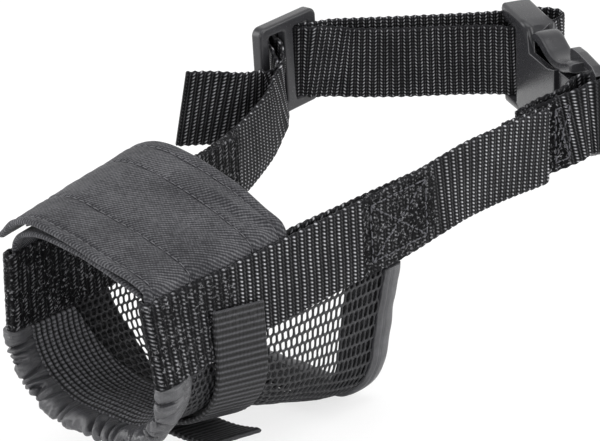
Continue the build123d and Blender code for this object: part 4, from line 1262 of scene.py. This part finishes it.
def floor_material():
    n = Nodes("floor_paper")
    pos = n.pos(1.0)
    f = n.noise(pos, 40, 3)
    col = n.mix(f, (0.86, 0.86, 0.86), (0.90, 0.90, 0.90))
    mat = n.finish(col, 0.9, n.bump(f, 0.05, 0.2), spec=0.2)
    em = n.t.nodes.new("ShaderNodeEmission")
    em.inputs["Strength"].default_value = 1.0
    lp = n.t.nodes.new("ShaderNodeLightPath")
    mx = n.t.nodes.new("ShaderNodeMixShader")
    n.t.links.new(n.m("MULTIPLY", lp.outputs["Is Camera Ray"], 0.72), mx.inputs[0])
    n.t.links.new(n.p.outputs[0], mx.inputs[1])
    n.t.links.new(em.outputs[0], mx.inputs[2])
    n.t.links.new(mx.outputs[0], n.out.inputs["Surface"])
    return mat


me = bpy.data.meshes.new("floor")
S = 6.0
me.from_pydata([(-S, -S, floor_z), (S, -S, floor_z), (S, S, floor_z), (-S, S, floor_z)], [], [(0, 1, 2, 3)])
floor = bpy.data.objects.new("floor", me)
bpy.context.scene.collection.objects.link(floor)
me.materials.append(floor_material())

world = bpy.data.worlds.new("studio")
bpy.context.scene.world = world
world.use_nodes = True
bg = world.node_tree.nodes["Background"]
bg.inputs["Color"].default_value = (1, 1, 1, 1)
lp_ = world.node_tree.nodes.new("ShaderNodeLightPath")
wt = world.node_tree
tc_ = wt.nodes.new("ShaderNodeTexCoord")
dt_ = wt.nodes.new("ShaderNodeVectorMath")
dt_.operation = "DOT_PRODUCT"
wt.links.new(tc_.outputs["Generated"], dt_.inputs[0])
dt_.inputs[1].default_value = (-0.669, 0.743, 0.0)
mr = wt.nodes.new("ShaderNodeMapRange")
mr.inputs["From Min"].default_value = -1.0
mr.inputs["From Max"].default_value = 1.0
mr.inputs["To Min"].default_value = 0.40
mr.inputs["To Max"].default_value = 1.15
wt.links.new(dt_.outputs["Value"], mr.inputs["Value"])
mc = wt.nodes.new("ShaderNodeMix")
mc.data_type = "FLOAT"
wt.links.new(lp_.outputs["Is Camera Ray"], mc.inputs[0])
wt.links.new(mr.outputs["Result"], mc.inputs[2])
mc.inputs[3].default_value = 1.0
wt.links.new(mc.outputs[0], bg.inputs["Strength"])


def area(name, loc_, target, size, power, shape=None):
    li = bpy.data.lights.new(name, "AREA")
    li.shape = "RECTANGLE"
    li.size, li.size_y = size
    li.energy = power
    ob = bpy.data.objects.new(name, li)
    bpy.context.scene.collection.objects.link(ob)
    ob.location = loc_
    ob.rotation_mode = "QUATERNION"
    ob.rotation_quaternion = (Vector(target) - Vector(loc_)).to_track_quat("-Z", "Y")
    return ob


area("key_top", (0.1, 0.05, 0.9), (0, 0.1, 0), (0.9, 0.7), 5.0)
area("right_rim", (0.65, 0.55, 0.25), (0, 0.12, 0), (0.5, 0.7), 5.0)
area("front_fill", (0.32, -0.62, 0.16), (0, 0.03, 0), (0.5, 0.4), 2.5)
area("left_rim", (-0.6, -0.35, 0.30), (0, 0.08, 0), (0.4, 0.6), 4.0)

cam = bpy.data.objects.new("camera", bpy.data.cameras.new("camera"))
bpy.context.scene.collection.objects.link(cam)
rr, uu, bb = (.7586, .6494, -.0522), (-.2420, .3553, .9029), (.60497, -.67229, .42666)
M = Matrix(((rr[0], uu[0], bb[0]), (rr[1], uu[1], bb[1]), (rr[2], uu[2], bb[2]))).to_4x4()
M.translation = Vector((0.40871, -0.36245, 0.29485))
cam.matrix_world = M
cam.data.sensor_width = 36
cam.data.lens = 135.94
cam.data.clip_start = 0.01
cam.data.clip_end = 50
bpy.context.scene.camera = cam
bpy.context.scene.view_settings.view_transform = "Standard"
bpy.context.scene.view_settings.look = "None"
